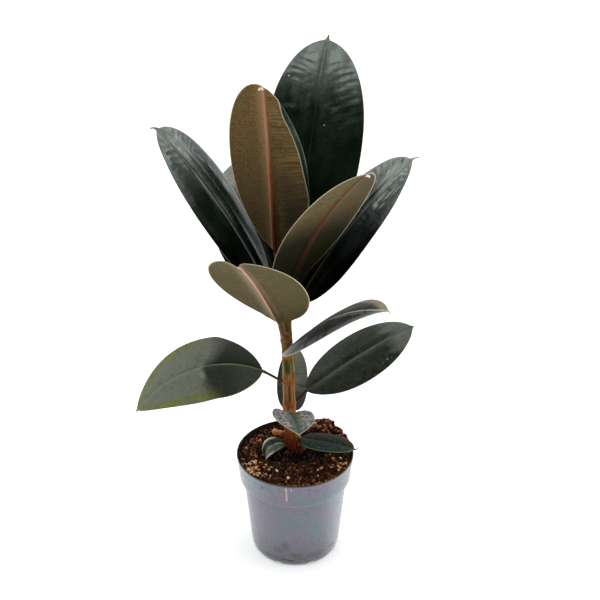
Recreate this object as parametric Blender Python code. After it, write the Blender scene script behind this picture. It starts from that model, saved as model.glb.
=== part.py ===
"""Potted rubber plant (burgundy Ficus elastica) in a round plastic nursery pot.

Origin: centre of the pot's foot, on the surface it stands on.  +Z up.
Lengths in the tables are centimetres and angles are degrees; CM turns them into metres.
"""
import math

import bpy
import numpy as np

CM = 0.01
RAD = math.pi / 180.0
GAP = 0.03                     # clearance kept between neighbouring pieces, cm

# ---------------------------------------------------------------- pot
POT_HEIGHT = 11.3
RIM_R = 6.0                    # outer radius of the collar at the lip
COLLAR_LOW_R = 5.72            # outer radius at the collar's lower edge
COLLAR_H = 2.72                # height of the collar band
STEP_R = 5.31                  # outer radius of the body under the collar
STEP_H = 0.27                  # height of the shoulder under the collar
BODY_LOW_R = 4.64              # outer radius just above the chamfered foot
FOOT_H = 0.95                  # height of the foot chamfer
FOOT_R = 4.28                  # radius of the flat foot
WALL = 0.12
FLOOR = 0.18
POT_SEGMENTS = 48
SLOTS = 8                      # drainage slots around the foot
SLOT_W = 0.85
SLOT_H = 0.22

# ---------------------------------------------------------------- soil
SOIL_LEVEL = 11.0              # height of the peat around the stem
SOIL_SEGMENTS = 48
SOIL_RINGS = 9

# ---------------------------------------------------------------- stem
STEM_Z = (8.1, 10.0, 12.5, 15.5, 18.5, 21.5, 24.5, 27.5, 31.0)
STEM_X = (-0.42, -0.42, -0.44, -0.58, -0.62, -0.70, -0.86, -0.95, -0.98)
STEM_Y = (1.60, 1.60, 1.60, 1.55, 1.50, 1.45, 1.35, 1.25, 1.15)
STEM_RZ = (8.1, 11.0, 12.0, 16.0, 20.0, 24.0, 28.0, 30.8)
STEM_R = (0.74, 0.80, 0.70, 0.64, 0.61, 0.58, 0.50, 0.40)
STEM_BASE = 8.1
STEM_TOP = 30.8
STEM_SEGMENTS = 16

# ---------------------------------------------------------------- leaves
# h      height on the stem where the stalk leaves it
# paz/pe heading and rise of the stalk, lp its length, rp its radius
# L, W   blade length and half width
# az,a1,a2  heading of the midrib: at the base, and its change along the blade
# e0,e1,e2  rise of the midrib above level, likewise
# ro,r1,r2  roll of the blade about its midrib, likewise
# fold   V angle of each half, df the difference between the halves,
#        curl how far the margins turn down
# k,n,m  outline: k moves the widest place, n and m set how full it is
# wa     how much wider the +1 half is, tip length of the drip tip
LEAF_KEYS = ("h", "paz", "pe", "lp", "rp", "L", "W", "az", "a1", "a2", "e0", "e1", "e2",
             "ro", "r1", "r2", "fold", "df", "curl", "k", "n", "m", "wa", "tip")
LEAVES = {
    # tall leaf at the back, blade facing forward
    "leaf_crown_back": (28.9, 58.5, 48, 3.05, 0.2, 21.3, 4.8, 67.5, 2.5, 0, 71.5, -5.5, -1,
        4, 2, 0.5, 5, 0, 9, 1.07, 2.25, 0.56, -0.04, 0.5),
    # upright leaf at the front, its underside outward
    "leaf_crown_front": (29.35, -115, 68.5, 5.3, 0.2, 18.85, 4.1, -97, 5, -2, 76, -15.5, -2,
        -19.5, -12, -5.5, 5.5, 0, 13.5, 1.12, 2.15, 0.56, -0.02, 0.15),
    # left leaf, spreading and lightly folded
    "leaf_crown_left": (27.3, 175.5, 59, 1.9, 0.2, 18.95, 4.15, 174.5, 2.5, 2.5, 67, -15.5, -2,
        -11, -5.5, -2.5, 8.5, 0, 18, 1, 2.3, 0.57, 0.01, 0.75),
    # right front leaf, its underside outward
    "leaf_crown_right_front": (27.7, -71.5, 74.5, 3.3, 0.2, 18.25, 4, -59.5, 3.5, 2.5, 63.5, -19, -5,
        7.5, -4.5, -4.5, 9, 0, 23.5, 0.95, 2.15, 0.59, -0.03, 0.2),
    # long leaf on the right
    "leaf_crown_right": (26.15, 14.5, 69.5, 1.95, 0.2, 17.4, 4.15, 12.5, -4.5, -5, 62, -19, 1,
        15, -1.5, -2, 8.5, 0, 12.5, 0.99, 2.3, 0.57, -0.01, 0.75),
    # low front leaf leaning out, its underside outward
    "leaf_crown_low_front": (24.5, -104.5, 60.5, 3.35, 0.2, 18.45, 4.15, -103.5, 4.5, -4, 47, -9, -1.5,
        -4.5, 10, -6.5, 8.5, 0, 10.5, 1.03, 2.05, 0.5, 0, 0.2),
    # low leaf at the back left, mostly behind the others
    "leaf_crown_back_left": (26.1, 121.5, 52, 2.2, 0.2, 17.2, 4.15, 111, -4, -7.5, 41.5, -21.5, 2,
        -7.5, -3.5, -5.5, 2, 0, 10.5, 0.98, 2.2, 0.6, 0.04, 0.6),
    # arching leaf low on the left
    "leaf_low_left": (18.95, 198, 39.5, 2.7, 0.14, 14, 3.95, 199.5, -3.5, 6, 34, -86.5, 4,
        -26, 5.5, 27.5, 2, 0, 15.5, 0.98, 2.15, 0.67, 0.02, 0.45),
    # narrow arching leaf turned edge on
    "leaf_middle_right": (22.25, -102.5, 29, 0.85, 0.16, 15.1, 3.65, -45.5, 10, -3, 53, -18, -23,
        -4, 17, -27, 5, 14.5, 28.5, 0.9, 2.2, 0.79, 0.02, 0.5),
    # broad leaf low on the right
    "leaf_low_right": (16.45, 2, 50, 1.65, 0.13, 12.6, 3.15, 21, 0, -5.5, 29, -3.5, -5,
        13.5, 4, -1.5, 2, 0, 11.5, 0.98, 2.15, 0.65, -0.02, 0.3),
    # small upright leaf behind the stem
    "leaf_behind_stem": (13.8, 83.5, 38.5, 0.9, 0.12, 6.6, 1.6, 83, -2, -1.5, 76.5, -16.5, -0.5,
        0, -0.5, -0.5, 10, 0, 6, 0.86, 2.25, 0.49, 0.01, 0.2),
    # small saddle-shaped leaf in front of the stem
    "leaf_small_front": (15.7, -81.5, 24.5, 0.5, 0.12, 6.25, 2.15, -83.5, 1.5, 2, 31, -34.5, -4.5,
        -6, -2, -1.5, 16, 0, 16, 1.01, 2.05, 0.68, -0.05, 0.25),
    # small leaf over the peat, right
    "leaf_small_right": (12.45, -34, 23, 0.8, 0.13, 6.2, 1.4, -36, 3.5, 5, 13.5, -17.5, 2.5,
        9, -2.5, -2, 5.5, 0, 9.5, 0.94, 2.25, 0.55, -0.02, 0.7),
    # small curled leaf on the peat, left
    "leaf_small_left": (11.25, 220.5, 21, 0.5, 0.1, 3.4, 1, 220.5, -40, -3, 48.5, -158, -6.5,
        -12.5, -2, 1.5, 5, 0, 2, 1.01, 2.2, 0.55, -0.03, 0.15),
}
# blade stations, stalk stations for the large and the small leaves
BLADE_STATIONS = {"big": 15, "mid": 13, "small": 10}
LEAF_CLASS = {
    "leaf_crown_back": "big",
    "leaf_crown_front": "big",
    "leaf_crown_left": "big",
    "leaf_crown_right_front": "big",
    "leaf_crown_right": "big",
    "leaf_crown_low_front": "big",
    "leaf_crown_back_left": "big",
    "leaf_low_left": "mid",
    "leaf_middle_right": "mid",
    "leaf_low_right": "mid",
    "leaf_behind_stem": "small",
    "leaf_small_front": "small",
    "leaf_small_right": "small",
    "leaf_small_left": "small",
}

# colours
BURGUNDY_TOP = (0.012, 0.022, 0.018)
OLIVE_UNDER = (0.16, 0.12, 0.06)
GREY_GREEN = (0.035, 0.055, 0.045)


# ================================================================ helpers
def clear_scene():
    for ob in list(bpy.data.objects):
        bpy.data.objects.remove(ob, do_unlink=True)


def material(name, colour, roughness, metallic=0.0):
    mat = bpy.data.materials.new(name)
    mat.use_nodes = True
    bsdf = mat.node_tree.nodes["Principled BSDF"]
    bsdf.inputs["Base Color"].default_value = (*colour, 1.0)
    bsdf.inputs["Roughness"].default_value = roughness
    bsdf.inputs["Metallic"].default_value = metallic
    return mat


def add_object(name, verts, faces, mat, sharp=40.0):
    """Make one object from points in centimetres."""
    mesh = bpy.data.meshes.new(name)
    mesh.from_pydata([tuple(float(c) * CM for c in v) for v in verts], [], [tuple(int(i) for i in f) for f in faces])
    mesh.validate()
    mesh.update()
    mesh.materials.append(mat)
    mesh.shade_smooth()
    mesh.set_sharp_from_angle(angle=sharp * RAD)
    ob = bpy.data.objects.new(name, mesh)
    bpy.context.scene.collection.objects.link(ob)
    return ob


def loft(rings):
    """Close a stack of equal rings, each running anticlockwise seen from the end it heads for."""
    rings = np.asarray(rings)
    k, m, _ = rings.shape
    verts = [tuple(v) for v in rings.reshape(-1, 3)]
    faces = []
    for i in range(k - 1):
        for j in range(m):
            a, b = i * m + j, i * m + (j + 1) % m
            c, d = (i + 1) * m + (j + 1) % m, (i + 1) * m + j
            faces.append((a, b, c))
            faces.append((a, c, d))
    first, last = len(verts), len(verts) + 1
    verts.append(tuple(rings[0].mean(axis=0)))
    verts.append(tuple(rings[-1].mean(axis=0)))
    for j in range(m):
        faces.append((first, (j + 1) % m, j))
        faces.append((last, (k - 1) * m + j, (k - 1) * m + (j + 1) % m))
    return verts, faces


def outward(verts, faces):
    """Turn a closed shell the right way out, by the sign of its volume."""
    v = np.asarray(verts, dtype=float)
    vol = 0.0
    for f in faces:
        for i in range(1, len(f) - 1):
            vol += float(np.dot(v[f[0]], np.cross(v[f[i]], v[f[i + 1]])))
    return faces if vol > 0 else [tuple(reversed(f)) for f in faces]


def smooth(x):
    x = min(max(x, 0.0), 1.0)
    return x * x * (3.0 - 2.0 * x)


# ================================================================ pot
def pot_outer_radius(z):
    top = POT_HEIGHT - COLLAR_H
    zs = (0.0, FOOT_H * 0.5, FOOT_H, top - STEP_H, top, POT_HEIGHT)
    rs = (FOOT_R, FOOT_R + 0.50 * (BODY_LOW_R - FOOT_R) + 0.08, BODY_LOW_R, STEP_R, COLLAR_LOW_R, RIM_R)
    return float(np.interp(z, zs, rs))


def pot_profile():
    """(radius, height) up the outside, over the lip and down the inside."""
    top = POT_HEIGHT - COLLAR_H
    outer = [(FOOT_R, 0.0), (FOOT_R + 0.18, 0.15), (BODY_LOW_R - 0.06, 0.52), (BODY_LOW_R, FOOT_H),
             (BODY_LOW_R + 0.03, FOOT_H + 0.12), (STEP_R, top - STEP_H), (COLLAR_LOW_R - 0.20, top - 0.10),
             (COLLAR_LOW_R, top), (COLLAR_LOW_R + 0.02, top + 0.10), (RIM_R - 0.03, POT_HEIGHT - 0.12),
             (RIM_R, POT_HEIGHT - 0.05), (RIM_R - 0.03, POT_HEIGHT)]
    inner = [(RIM_R - WALL, POT_HEIGHT), (RIM_R - WALL - 0.04, POT_HEIGHT - 0.12),
             (COLLAR_LOW_R - WALL, top + 0.10), (COLLAR_LOW_R - WALL - 0.12, top),
             (STEP_R - WALL, top - STEP_H - 0.05), (BODY_LOW_R - WALL, FOOT_H + 0.10),
             (BODY_LOW_R - 0.07 - WALL, 0.60), (FOOT_R + 0.16 - WALL, FLOOR + 0.08),
             (FOOT_R - WALL - 0.10, FLOOR)]
    return outer, inner


def pot_inner_radius(z):
    _, inner = pot_profile()
    pts = sorted(inner, key=lambda p: p[1])
    return float(np.interp(z, [p[1] for p in pts], [p[0] for p in pts]))


def build_pot():
    outer, inner = pot_profile()
    profile = outer + inner
    n = POT_SEGMENTS
    verts, faces = [], []
    for r, z in profile:
        for j in range(n):
            a = 2 * math.pi * j / n
            verts.append((r * math.cos(a), r * math.sin(a), z))
    for i in range(len(profile) - 1):
        for j in range(n):
            a, b = i * n + j, i * n + (j + 1) % n
            c, d = (i + 1) * n + (j + 1) % n, (i + 1) * n + j
            faces.append((a, b, c, d))
    under = len(verts)
    verts.append((0.0, 0.0, 0.0))
    above = len(verts)
    verts.append((0.0, 0.0, FLOOR))
    last = (len(profile) - 1) * n
    for j in range(n):
        faces.append((under, (j + 1) % n, j))
        faces.append((above, last + j, last + (j + 1) % n))
    pot = add_object("nursery_pot", verts, outward(verts, faces), material("pot_plastic", (0.52, 0.56, 0.62), 0.38), 30.0)

    # drainage slots: low windows through the chamfer, between the feet
    tool_verts, tool_faces = [], []
    for s in range(SLOTS):
        a = 2 * math.pi * (s + 0.5) / SLOTS
        ca, sa = math.cos(a), math.sin(a)
        base = len(tool_verts)
        for r in (FOOT_R - 0.75, BODY_LOW_R + 0.6):
            for t, z in ((-0.5, -0.2), (0.5, -0.2), (0.5, SLOT_H), (0.36, SLOT_H + 0.12), (-0.36, SLOT_H + 0.12), (-0.5, SLOT_H)):
                tool_verts.append((r * ca - t * SLOT_W * sa, r * sa + t * SLOT_W * ca, z))
        for j in range(6):
            k = (j + 1) % 6
            tool_faces.append((base + j, base + k, base + 6 + k, base + 6 + j))
        tool_faces.append(tuple(base + j for j in reversed(range(6))))
        tool_faces.append(tuple(base + 6 + j for j in range(6)))
    cutter = add_object("slot_cutter", tool_verts, outward(tool_verts, tool_faces), material("cutter", (1, 0, 0), 0.5))
    cutter.hide_render = True
    cutter.display_type = "WIRE"
    cut = pot.modifiers.new("drainage", "BOOLEAN")
    cut.operation = "DIFFERENCE"
    cut.object = cutter
    cut.solver = "EXACT"
    return pot


# ================================================================ soil
def stem_centre(z):
    return np.array([np.interp(z, STEM_Z, STEM_X), np.interp(z, STEM_Z, STEM_Y), z])


def stem_radius(z):
    return float(np.interp(z, STEM_RZ, STEM_R))


def soil_height(x, y):
    """Peat level: low along the left and back wall, heaped up behind the stem on the right."""
    h = SOIL_LEVEL
    h += 1.15 * math.exp(-(((x - 3.0) / 1.9) ** 2 + ((y - 3.7) / 1.5) ** 2))
    h -= 0.75 * math.exp(-(((x + 5.2) / 2.2) ** 2 + ((y - 0.8) / 3.2) ** 2))
    h -= 0.65 * math.exp(-(((x + 2.6) / 2.2) ** 2 + ((y - 4.6) / 1.9) ** 2))
    h -= 0.75 * math.exp(-(((x + 2.9) / 1.4) ** 2 + ((y - 0.1) / 1.5) ** 2))
    h -= 0.30 * math.exp(-(((x - 1.2) / 2.4) ** 2 + ((y + 0.6) / 1.6) ** 2))
    h += 0.10 * math.sin(2.1 * x + 0.6) * math.cos(1.9 * y - 0.4)
    h += 0.05 * math.sin(4.3 * x - 1.7 * y) + 0.04 * math.cos(3.7 * y + 2.9 * x)
    return h


def build_soil():
    n = SOIL_SEGMENTS
    rings = []
    # underside, then up the wall of the pot
    _, inner = pot_profile()
    zs = [FLOOR + GAP, FLOOR + 0.10 + GAP, 0.62, FOOT_H + 0.12, POT_HEIGHT - COLLAR_H - STEP_H - 0.05,
          POT_HEIGHT - COLLAR_H, POT_HEIGHT - COLLAR_H + 0.10]
    rs = []
    for z in zs:
        rs.append(pot_inner_radius(z) - GAP - 0.02)
    rs[0] = FOOT_R - WALL - 0.10 - GAP - 0.06
    rings.append([(rs[0] * 0.5 * math.cos(2 * math.pi * j / n), rs[0] * 0.5 * math.sin(2 * math.pi * j / n), zs[0]) for j in range(n)])
    for z, r in zip(zs, rs):
        rings.append([(r * math.cos(2 * math.pi * j / n), r * math.sin(2 * math.pi * j / n), z) for j in range(n)])
    # the edge of the surface, against the wall
    edge = []
    for j in range(n):
        a = 2 * math.pi * j / n
        r = RIM_R - WALL - 0.20
        z = min(soil_height(r * math.cos(a), r * math.sin(a)), POT_HEIGHT + 0.35)
        if z < POT_HEIGHT - 0.05:
            r = pot_inner_radius(z) - GAP - 0.02
        else:
            r = RIM_R - WALL - 0.04 - GAP - 0.03
        edge.append((r * math.cos(a), r * math.sin(a), z))
    rings.append(edge)
    # the surface, in rings that close on the stem
    pit = stem_radius(SOIL_LEVEL) + GAP + 0.04
    c0 = stem_centre(SOIL_LEVEL)
    for i in range(1, SOIL_RINGS + 1):
        f = i / SOIL_RINGS
        f = 1 - (1 - f) ** 0.9
        row = []
        for j in range(n):
            a = 2 * math.pi * j / n
            ex, ey, _z = edge[j]
            px, py = c0[0] + pit * math.cos(a), c0[1] + pit * math.sin(a)
            x, y = ex + (px - ex) * f, ey + (py - ey) * f
            row.append((x, y, soil_height(x, y)))
        rings.append(row)
    # the planting hole, down to the stem's foot
    floor_z = STEM_BASE - GAP
    rings.append([(c0[0] + pit * math.cos(2 * math.pi * j / n), c0[1] + pit * math.sin(2 * math.pi * j / n), floor_z) for j in range(n)])
    verts, faces = loft(rings)
    return add_object("potting_soil", verts, outward(verts, faces), material("peat", (0.045, 0.022, 0.012), 0.95), 50.0)


# ================================================================ stem
def build_stem():
    node_heights = sorted(v[0] for v in LEAVES.values())
    zs = list(np.linspace(STEM_BASE, STEM_TOP, 15))
    for h in node_heights:
        if all(abs(h - z) > 0.45 for z in zs) and h > 12.0:
            zs.append(h)
    zs = sorted(zs)
    rings = []
    for z in zs:
        c = stem_centre(z)
        r = stem_radius(z)
        rings.append([(c[0] + r * math.cos(2 * math.pi * j / STEM_SEGMENTS),
                       c[1] + r * math.sin(2 * math.pi * j / STEM_SEGMENTS), z) for j in range(STEM_SEGMENTS)])
    verts, faces = loft(rings)
    return add_object("stem", verts, outward(verts, faces), material("bark", (0.30, 0.16, 0.06), 0.7), 60.0)


def build_terminal_bud():
    """The rolled sheath of the next leaf, standing on the stem's tip."""
    z0 = STEM_TOP + GAP
    length = 3.6
    rings = []
    for i in range(8):
        f = i / 7.0
        r = 0.30 * (1.0 - f) ** 0.75 * (1.0 + 0.25 * math.sin(math.pi * min(f * 2, 1))) + 0.02
        if i == 0:
            r = 0.27
        c = stem_centre(STEM_TOP) + np.array([0.05 * f, 0.35 * f * f, 0.0])
        rings.append([(c[0] + r * math.cos(2 * math.pi * j / 12), c[1] + r * math.sin(2 * math.pi * j / 12), z0 + length * f) for j in range(12)])
    verts, faces = loft(rings)
    return add_object("terminal_bud", verts, outward(verts, faces), material("bud_sheath", (0.20, 0.03, 0.02), 0.45), 60.0)


def build_side_bud():
    """A short stub left of the stem's foot, where a leaf stalk has dropped off."""
    z = 12.75
    c = stem_centre(z)
    heading = np.array([-0.995, 0.10, 0.0])
    side = np.array([-0.10, -0.995, 0.0])
    start = stem_radius(z) + GAP
    rings = []
    for s, r, up in ((0.0, 0.20, 0.0), (0.35, 0.21, 0.03), (0.75, 0.27, 0.08), (1.05, 0.29, 0.10), (1.28, 0.23, 0.10), (1.38, 0.10, 0.09)):
        centre = c + heading * (start + s) + np.array([0, 0, up])
        rings.append([tuple(centre + side * (r * math.cos(2 * math.pi * j / 10)) + np.array([0, 0, r * math.sin(2 * math.pi * j / 10)])) for j in range(10)])
    verts, faces = loft(rings)
    return add_object("side_bud", verts, outward(verts, faces), material("orange_bark", (0.42, 0.15, 0.04), 0.6), 60.0)


# ================================================================ leaves
def leaf_values(name):
    return dict(zip(LEAF_KEYS, LEAVES[name]))


def midrib_frame(p, t):
    """Heading of the midrib, the blade's side direction and its upper normal at t."""
    az = (p["az"] + p["a1"] * t + p["a2"] * t * t) * RAD
    el = (p["e0"] + p["e1"] * t + p["e2"] * t * t) * RAD
    ahead = np.array([math.cos(el) * math.cos(az), math.cos(el) * math.sin(az), math.sin(el)])
    side = np.array([-math.sin(az), math.cos(az), 0.0])
    up = np.cross(ahead, side)
    roll = (p["ro"] + p["r1"] * t + p["r2"] * t * t) * RAD
    return ahead, math.cos(roll) * side + math.sin(roll) * up, math.cos(roll) * up - math.sin(roll) * side


def outline(p, t):
    if t <= 0.0 or t >= 1.0:
        return 0.0
    return (1.0 - abs(2.0 * t ** p["k"] - 1.0) ** p["n"]) ** p["m"]


UPPER = (-0.8, -0.4, 0.0, 0.4, 0.8)            # cross-section points over the top, as fractions of the half width
LOWER = (0.8, 0.4, 0.07, 0.0, -0.07, -0.4, -0.8)
BLADE_T = 0.08                                  # blade thickness


def leaf_rings(p, blade_stations, stalk_stations=4, tip_stations=2):
    tip = max(p["tip"], 0.15)
    steps = 480
    ts = np.linspace(0.0, 1.2, steps + 1)
    heads = np.array([midrib_frame(p, t)[0] for t in ts])
    path = np.vstack([[0.0, 0.0, 0.0], np.cumsum((heads[1:] + heads[:-1]) / 2 * ts[1] * p["L"], axis=0)])

    on_axis = stem_centre(p["h"])
    pa, pe = p["paz"] * RAD, p["pe"] * RAD
    radial = np.array([math.cos(pa), math.sin(pa), 0.0])
    blade_base = on_axis + radial * 0.6 + (radial * math.cos(pe) + np.array([0, 0, math.sin(pe)]) + heads[0]) / 2 * p["lp"]
    path = path + blade_base
    start = on_axis + radial * (stem_radius(p["h"]) + GAP)

    us = [-1.0] + list(UPPER) + [1.0] + list(LOWER)
    nu, nl = len(UPPER) + 1, len(LOWER) + 1
    angles = [math.pi - math.pi * i / nu for i in range(nu)] + [-math.pi * i / nl for i in range(nl)]
    face = [0] + [1] * (nu - 1) + [0] + [-1] * (nl - 1)

    rings = []
    # the stalk: leaves the stem square to it, then swings up to the blade
    span = float(np.linalg.norm(blade_base - start))
    rise = min(p["pe"], 35.0) * RAD
    m0 = (radial * math.cos(rise) + np.array([0, 0, math.sin(rise)])) * span
    m1 = heads[0] * span
    side0 = midrib_frame(p, 0.0)[1]
    across = np.cross([0, 0, 1.0], radial)
    for i in range(stalk_stations):
        s = i / stalk_stations
        c = (2 * s ** 3 - 3 * s ** 2 + 1) * start + (s ** 3 - 2 * s ** 2 + s) * m0 + (3 * s ** 2 - 2 * s ** 3) * blade_base + (s ** 3 - s ** 2) * m1
        d = (6 * s * s - 6 * s) * start + (3 * s * s - 4 * s + 1) * m0 + (6 * s - 6 * s * s) * blade_base + (3 * s * s - 2 * s) * m1
        d = d / np.linalg.norm(d)
        w = smooth(s / 0.5)
        d = radial * (1 - w) + d * w
        d = d / np.linalg.norm(d)
        side = side0 * s + across * (1 - s)
        side = side - d * side.dot(d)
        side = side / np.linalg.norm(side)
        up = np.cross(d, side)
        r = p["rp"] * (1.15 - 0.3 * s if s < 0.5 else 1.0)
        rings.append([c + r * math.cos(a) * side + r * math.sin(a) * up for a in angles])

    # the blade, then the drip tip
    n = blade_stations
    stations = [min(0.997, 0.5 - 0.5 * math.cos(math.pi * (i + 0.35) / (n - 0.3))) for i in range(n)]
    stations += [1.0 + (i + 1) / tip_stations * tip / p["L"] for i in range(tip_stations)]
    for t in stations:
        ahead, side, up = midrib_frame(p, t)
        c = np.array([np.interp(t, ts, path[:, k]) for k in range(3)])
        beta = smooth(t / 0.05)
        rib = p["rp"] * (1 - 0.75 * min(t, 1.0)) * (1.0 if t < 1 else 0.4)
        if t >= 1.0:
            point = 0.16 * max(0.0, 1 - (t - 1) * p["L"] / tip * 0.8)
        elif t > 0.9:
            point = 0.16 + (1 - t) * p["L"] * 0.3
        else:
            point = 0.0
        ring = []
        for u, a, f in zip(us, angles, face):
            ub = (1 - beta) * math.cos(a) + beta * u
            sd = 1.0 if ub >= 0 else -1.0
            w = p["W"] * (1 + sd * p["wa"]) * outline(p, t)
            w = max((w ** 4 + (p["rp"] * (1 - beta * 0.6)) ** 4) ** 0.25, point)
            reach = abs(ub) * w
            q = np.linspace(0.0, reach, 9)
            bend = ((p["fold"] + sd * p["df"]) * (1 - np.exp(-q / 0.35)) - p["curl"] * q / p["W"]) * RAD * beta
            dq = np.diff(q)
            y = float((np.cos((bend[1:] + bend[:-1]) / 2) * dq).sum())
            z = float((np.sin((bend[1:] + bend[:-1]) / 2) * dq).sum())
            local_up = math.cos(bend[-1]) * up - sd * math.sin(bend[-1]) * side
            half = BLADE_T / 2 * min(1.0, math.sqrt(max(0.0, 1 - ub * ub)) * 2.2)
            if f > 0:
                flat = half
            elif f < 0:
                flat = -(half + 1.3 * rib * math.exp(-(reach / (1.3 * rib + 0.05)) ** 2))
            else:
                flat = 0.0
            off = (1 - beta) * p["rp"] * math.sin(a) + beta * flat
            ring.append(c + sd * y * side + z * up + off * local_up)
        rings.append(ring)
    return rings


def build_leaf(name):
    p = leaf_values(name)
    rings = leaf_rings(p, BLADE_STATIONS[LEAF_CLASS[name]])
    verts, faces = loft(rings)
    colour = {"big": BURGUNDY_TOP, "mid": GREY_GREEN, "small": GREY_GREEN}[LEAF_CLASS[name]]
    if name in ("leaf_crown_front", "leaf_crown_right_front", "leaf_crown_low_front"):
        colour = OLIVE_UNDER
    return add_object(name, verts, outward(verts, faces), material(name + "_mat", colour, 0.35), 70.0)


def main():
    clear_scene()
    root = bpy.data.objects.new("potted_rubber_plant", None)
    bpy.context.scene.collection.objects.link(root)
    pieces = [build_pot(), build_soil(), build_stem(), build_terminal_bud(), build_side_bud()]
    pieces += [build_leaf(name) for name in LEAVES]
    for ob in pieces:
        ob.parent = root


main()
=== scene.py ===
"""Looks of the potted rubber plant: burgundy Ficus elastica in peat, in a round plastic nursery pot.

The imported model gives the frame.  Every leaf, the stem, the buds, the peat and the pot are built again
here as fine meshes on the same curves as the solids, and each one replaces its solid.
Tables are in centimetres and degrees; CM turns them into metres.
"""

import math

import bpy
import numpy as np
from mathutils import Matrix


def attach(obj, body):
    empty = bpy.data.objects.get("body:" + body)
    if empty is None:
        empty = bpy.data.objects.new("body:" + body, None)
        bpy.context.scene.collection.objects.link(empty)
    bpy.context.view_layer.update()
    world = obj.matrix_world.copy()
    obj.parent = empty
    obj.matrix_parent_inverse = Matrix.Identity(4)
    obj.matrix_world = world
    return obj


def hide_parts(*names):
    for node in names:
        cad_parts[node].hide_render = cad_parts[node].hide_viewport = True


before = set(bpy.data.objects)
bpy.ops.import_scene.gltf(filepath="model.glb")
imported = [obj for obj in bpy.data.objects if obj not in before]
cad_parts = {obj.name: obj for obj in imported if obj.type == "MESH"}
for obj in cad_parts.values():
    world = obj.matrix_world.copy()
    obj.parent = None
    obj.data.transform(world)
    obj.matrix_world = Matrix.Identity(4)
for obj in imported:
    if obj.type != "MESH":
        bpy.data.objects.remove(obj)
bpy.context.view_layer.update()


CM = 0.01
RAD = math.pi / 180.0
rng = np.random.default_rng(20240613)


# ================================================================ numbers shared with the solids
POT_HEIGHT = 11.3
RIM_R = 6.0
COLLAR_LOW_R = 5.72
COLLAR_H = 2.72
STEP_R = 5.31
STEP_H = 0.27
BODY_LOW_R = 4.64
FOOT_H = 0.95
FOOT_R = 4.28
WALL = 0.12
FLOOR = 0.18
SLOTS = 8
SLOT_W = 0.85
SLOT_H = 0.22

SOIL_LEVEL = 11.0

STEM_Z = (8.1, 10.0, 12.5, 15.5, 18.5, 21.5, 24.5, 27.5, 31.0)
STEM_X = (-0.42, -0.42, -0.44, -0.58, -0.62, -0.70, -0.86, -0.95, -0.98)
STEM_Y = (1.60, 1.60, 1.60, 1.55, 1.50, 1.45, 1.35, 1.25, 1.15)
STEM_RZ = (8.1, 11.0, 12.0, 16.0, 20.0, 24.0, 28.0, 30.8)
STEM_R = (0.74, 0.80, 0.70, 0.64, 0.61, 0.58, 0.50, 0.40)
STEM_TOP = 30.8

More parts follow.
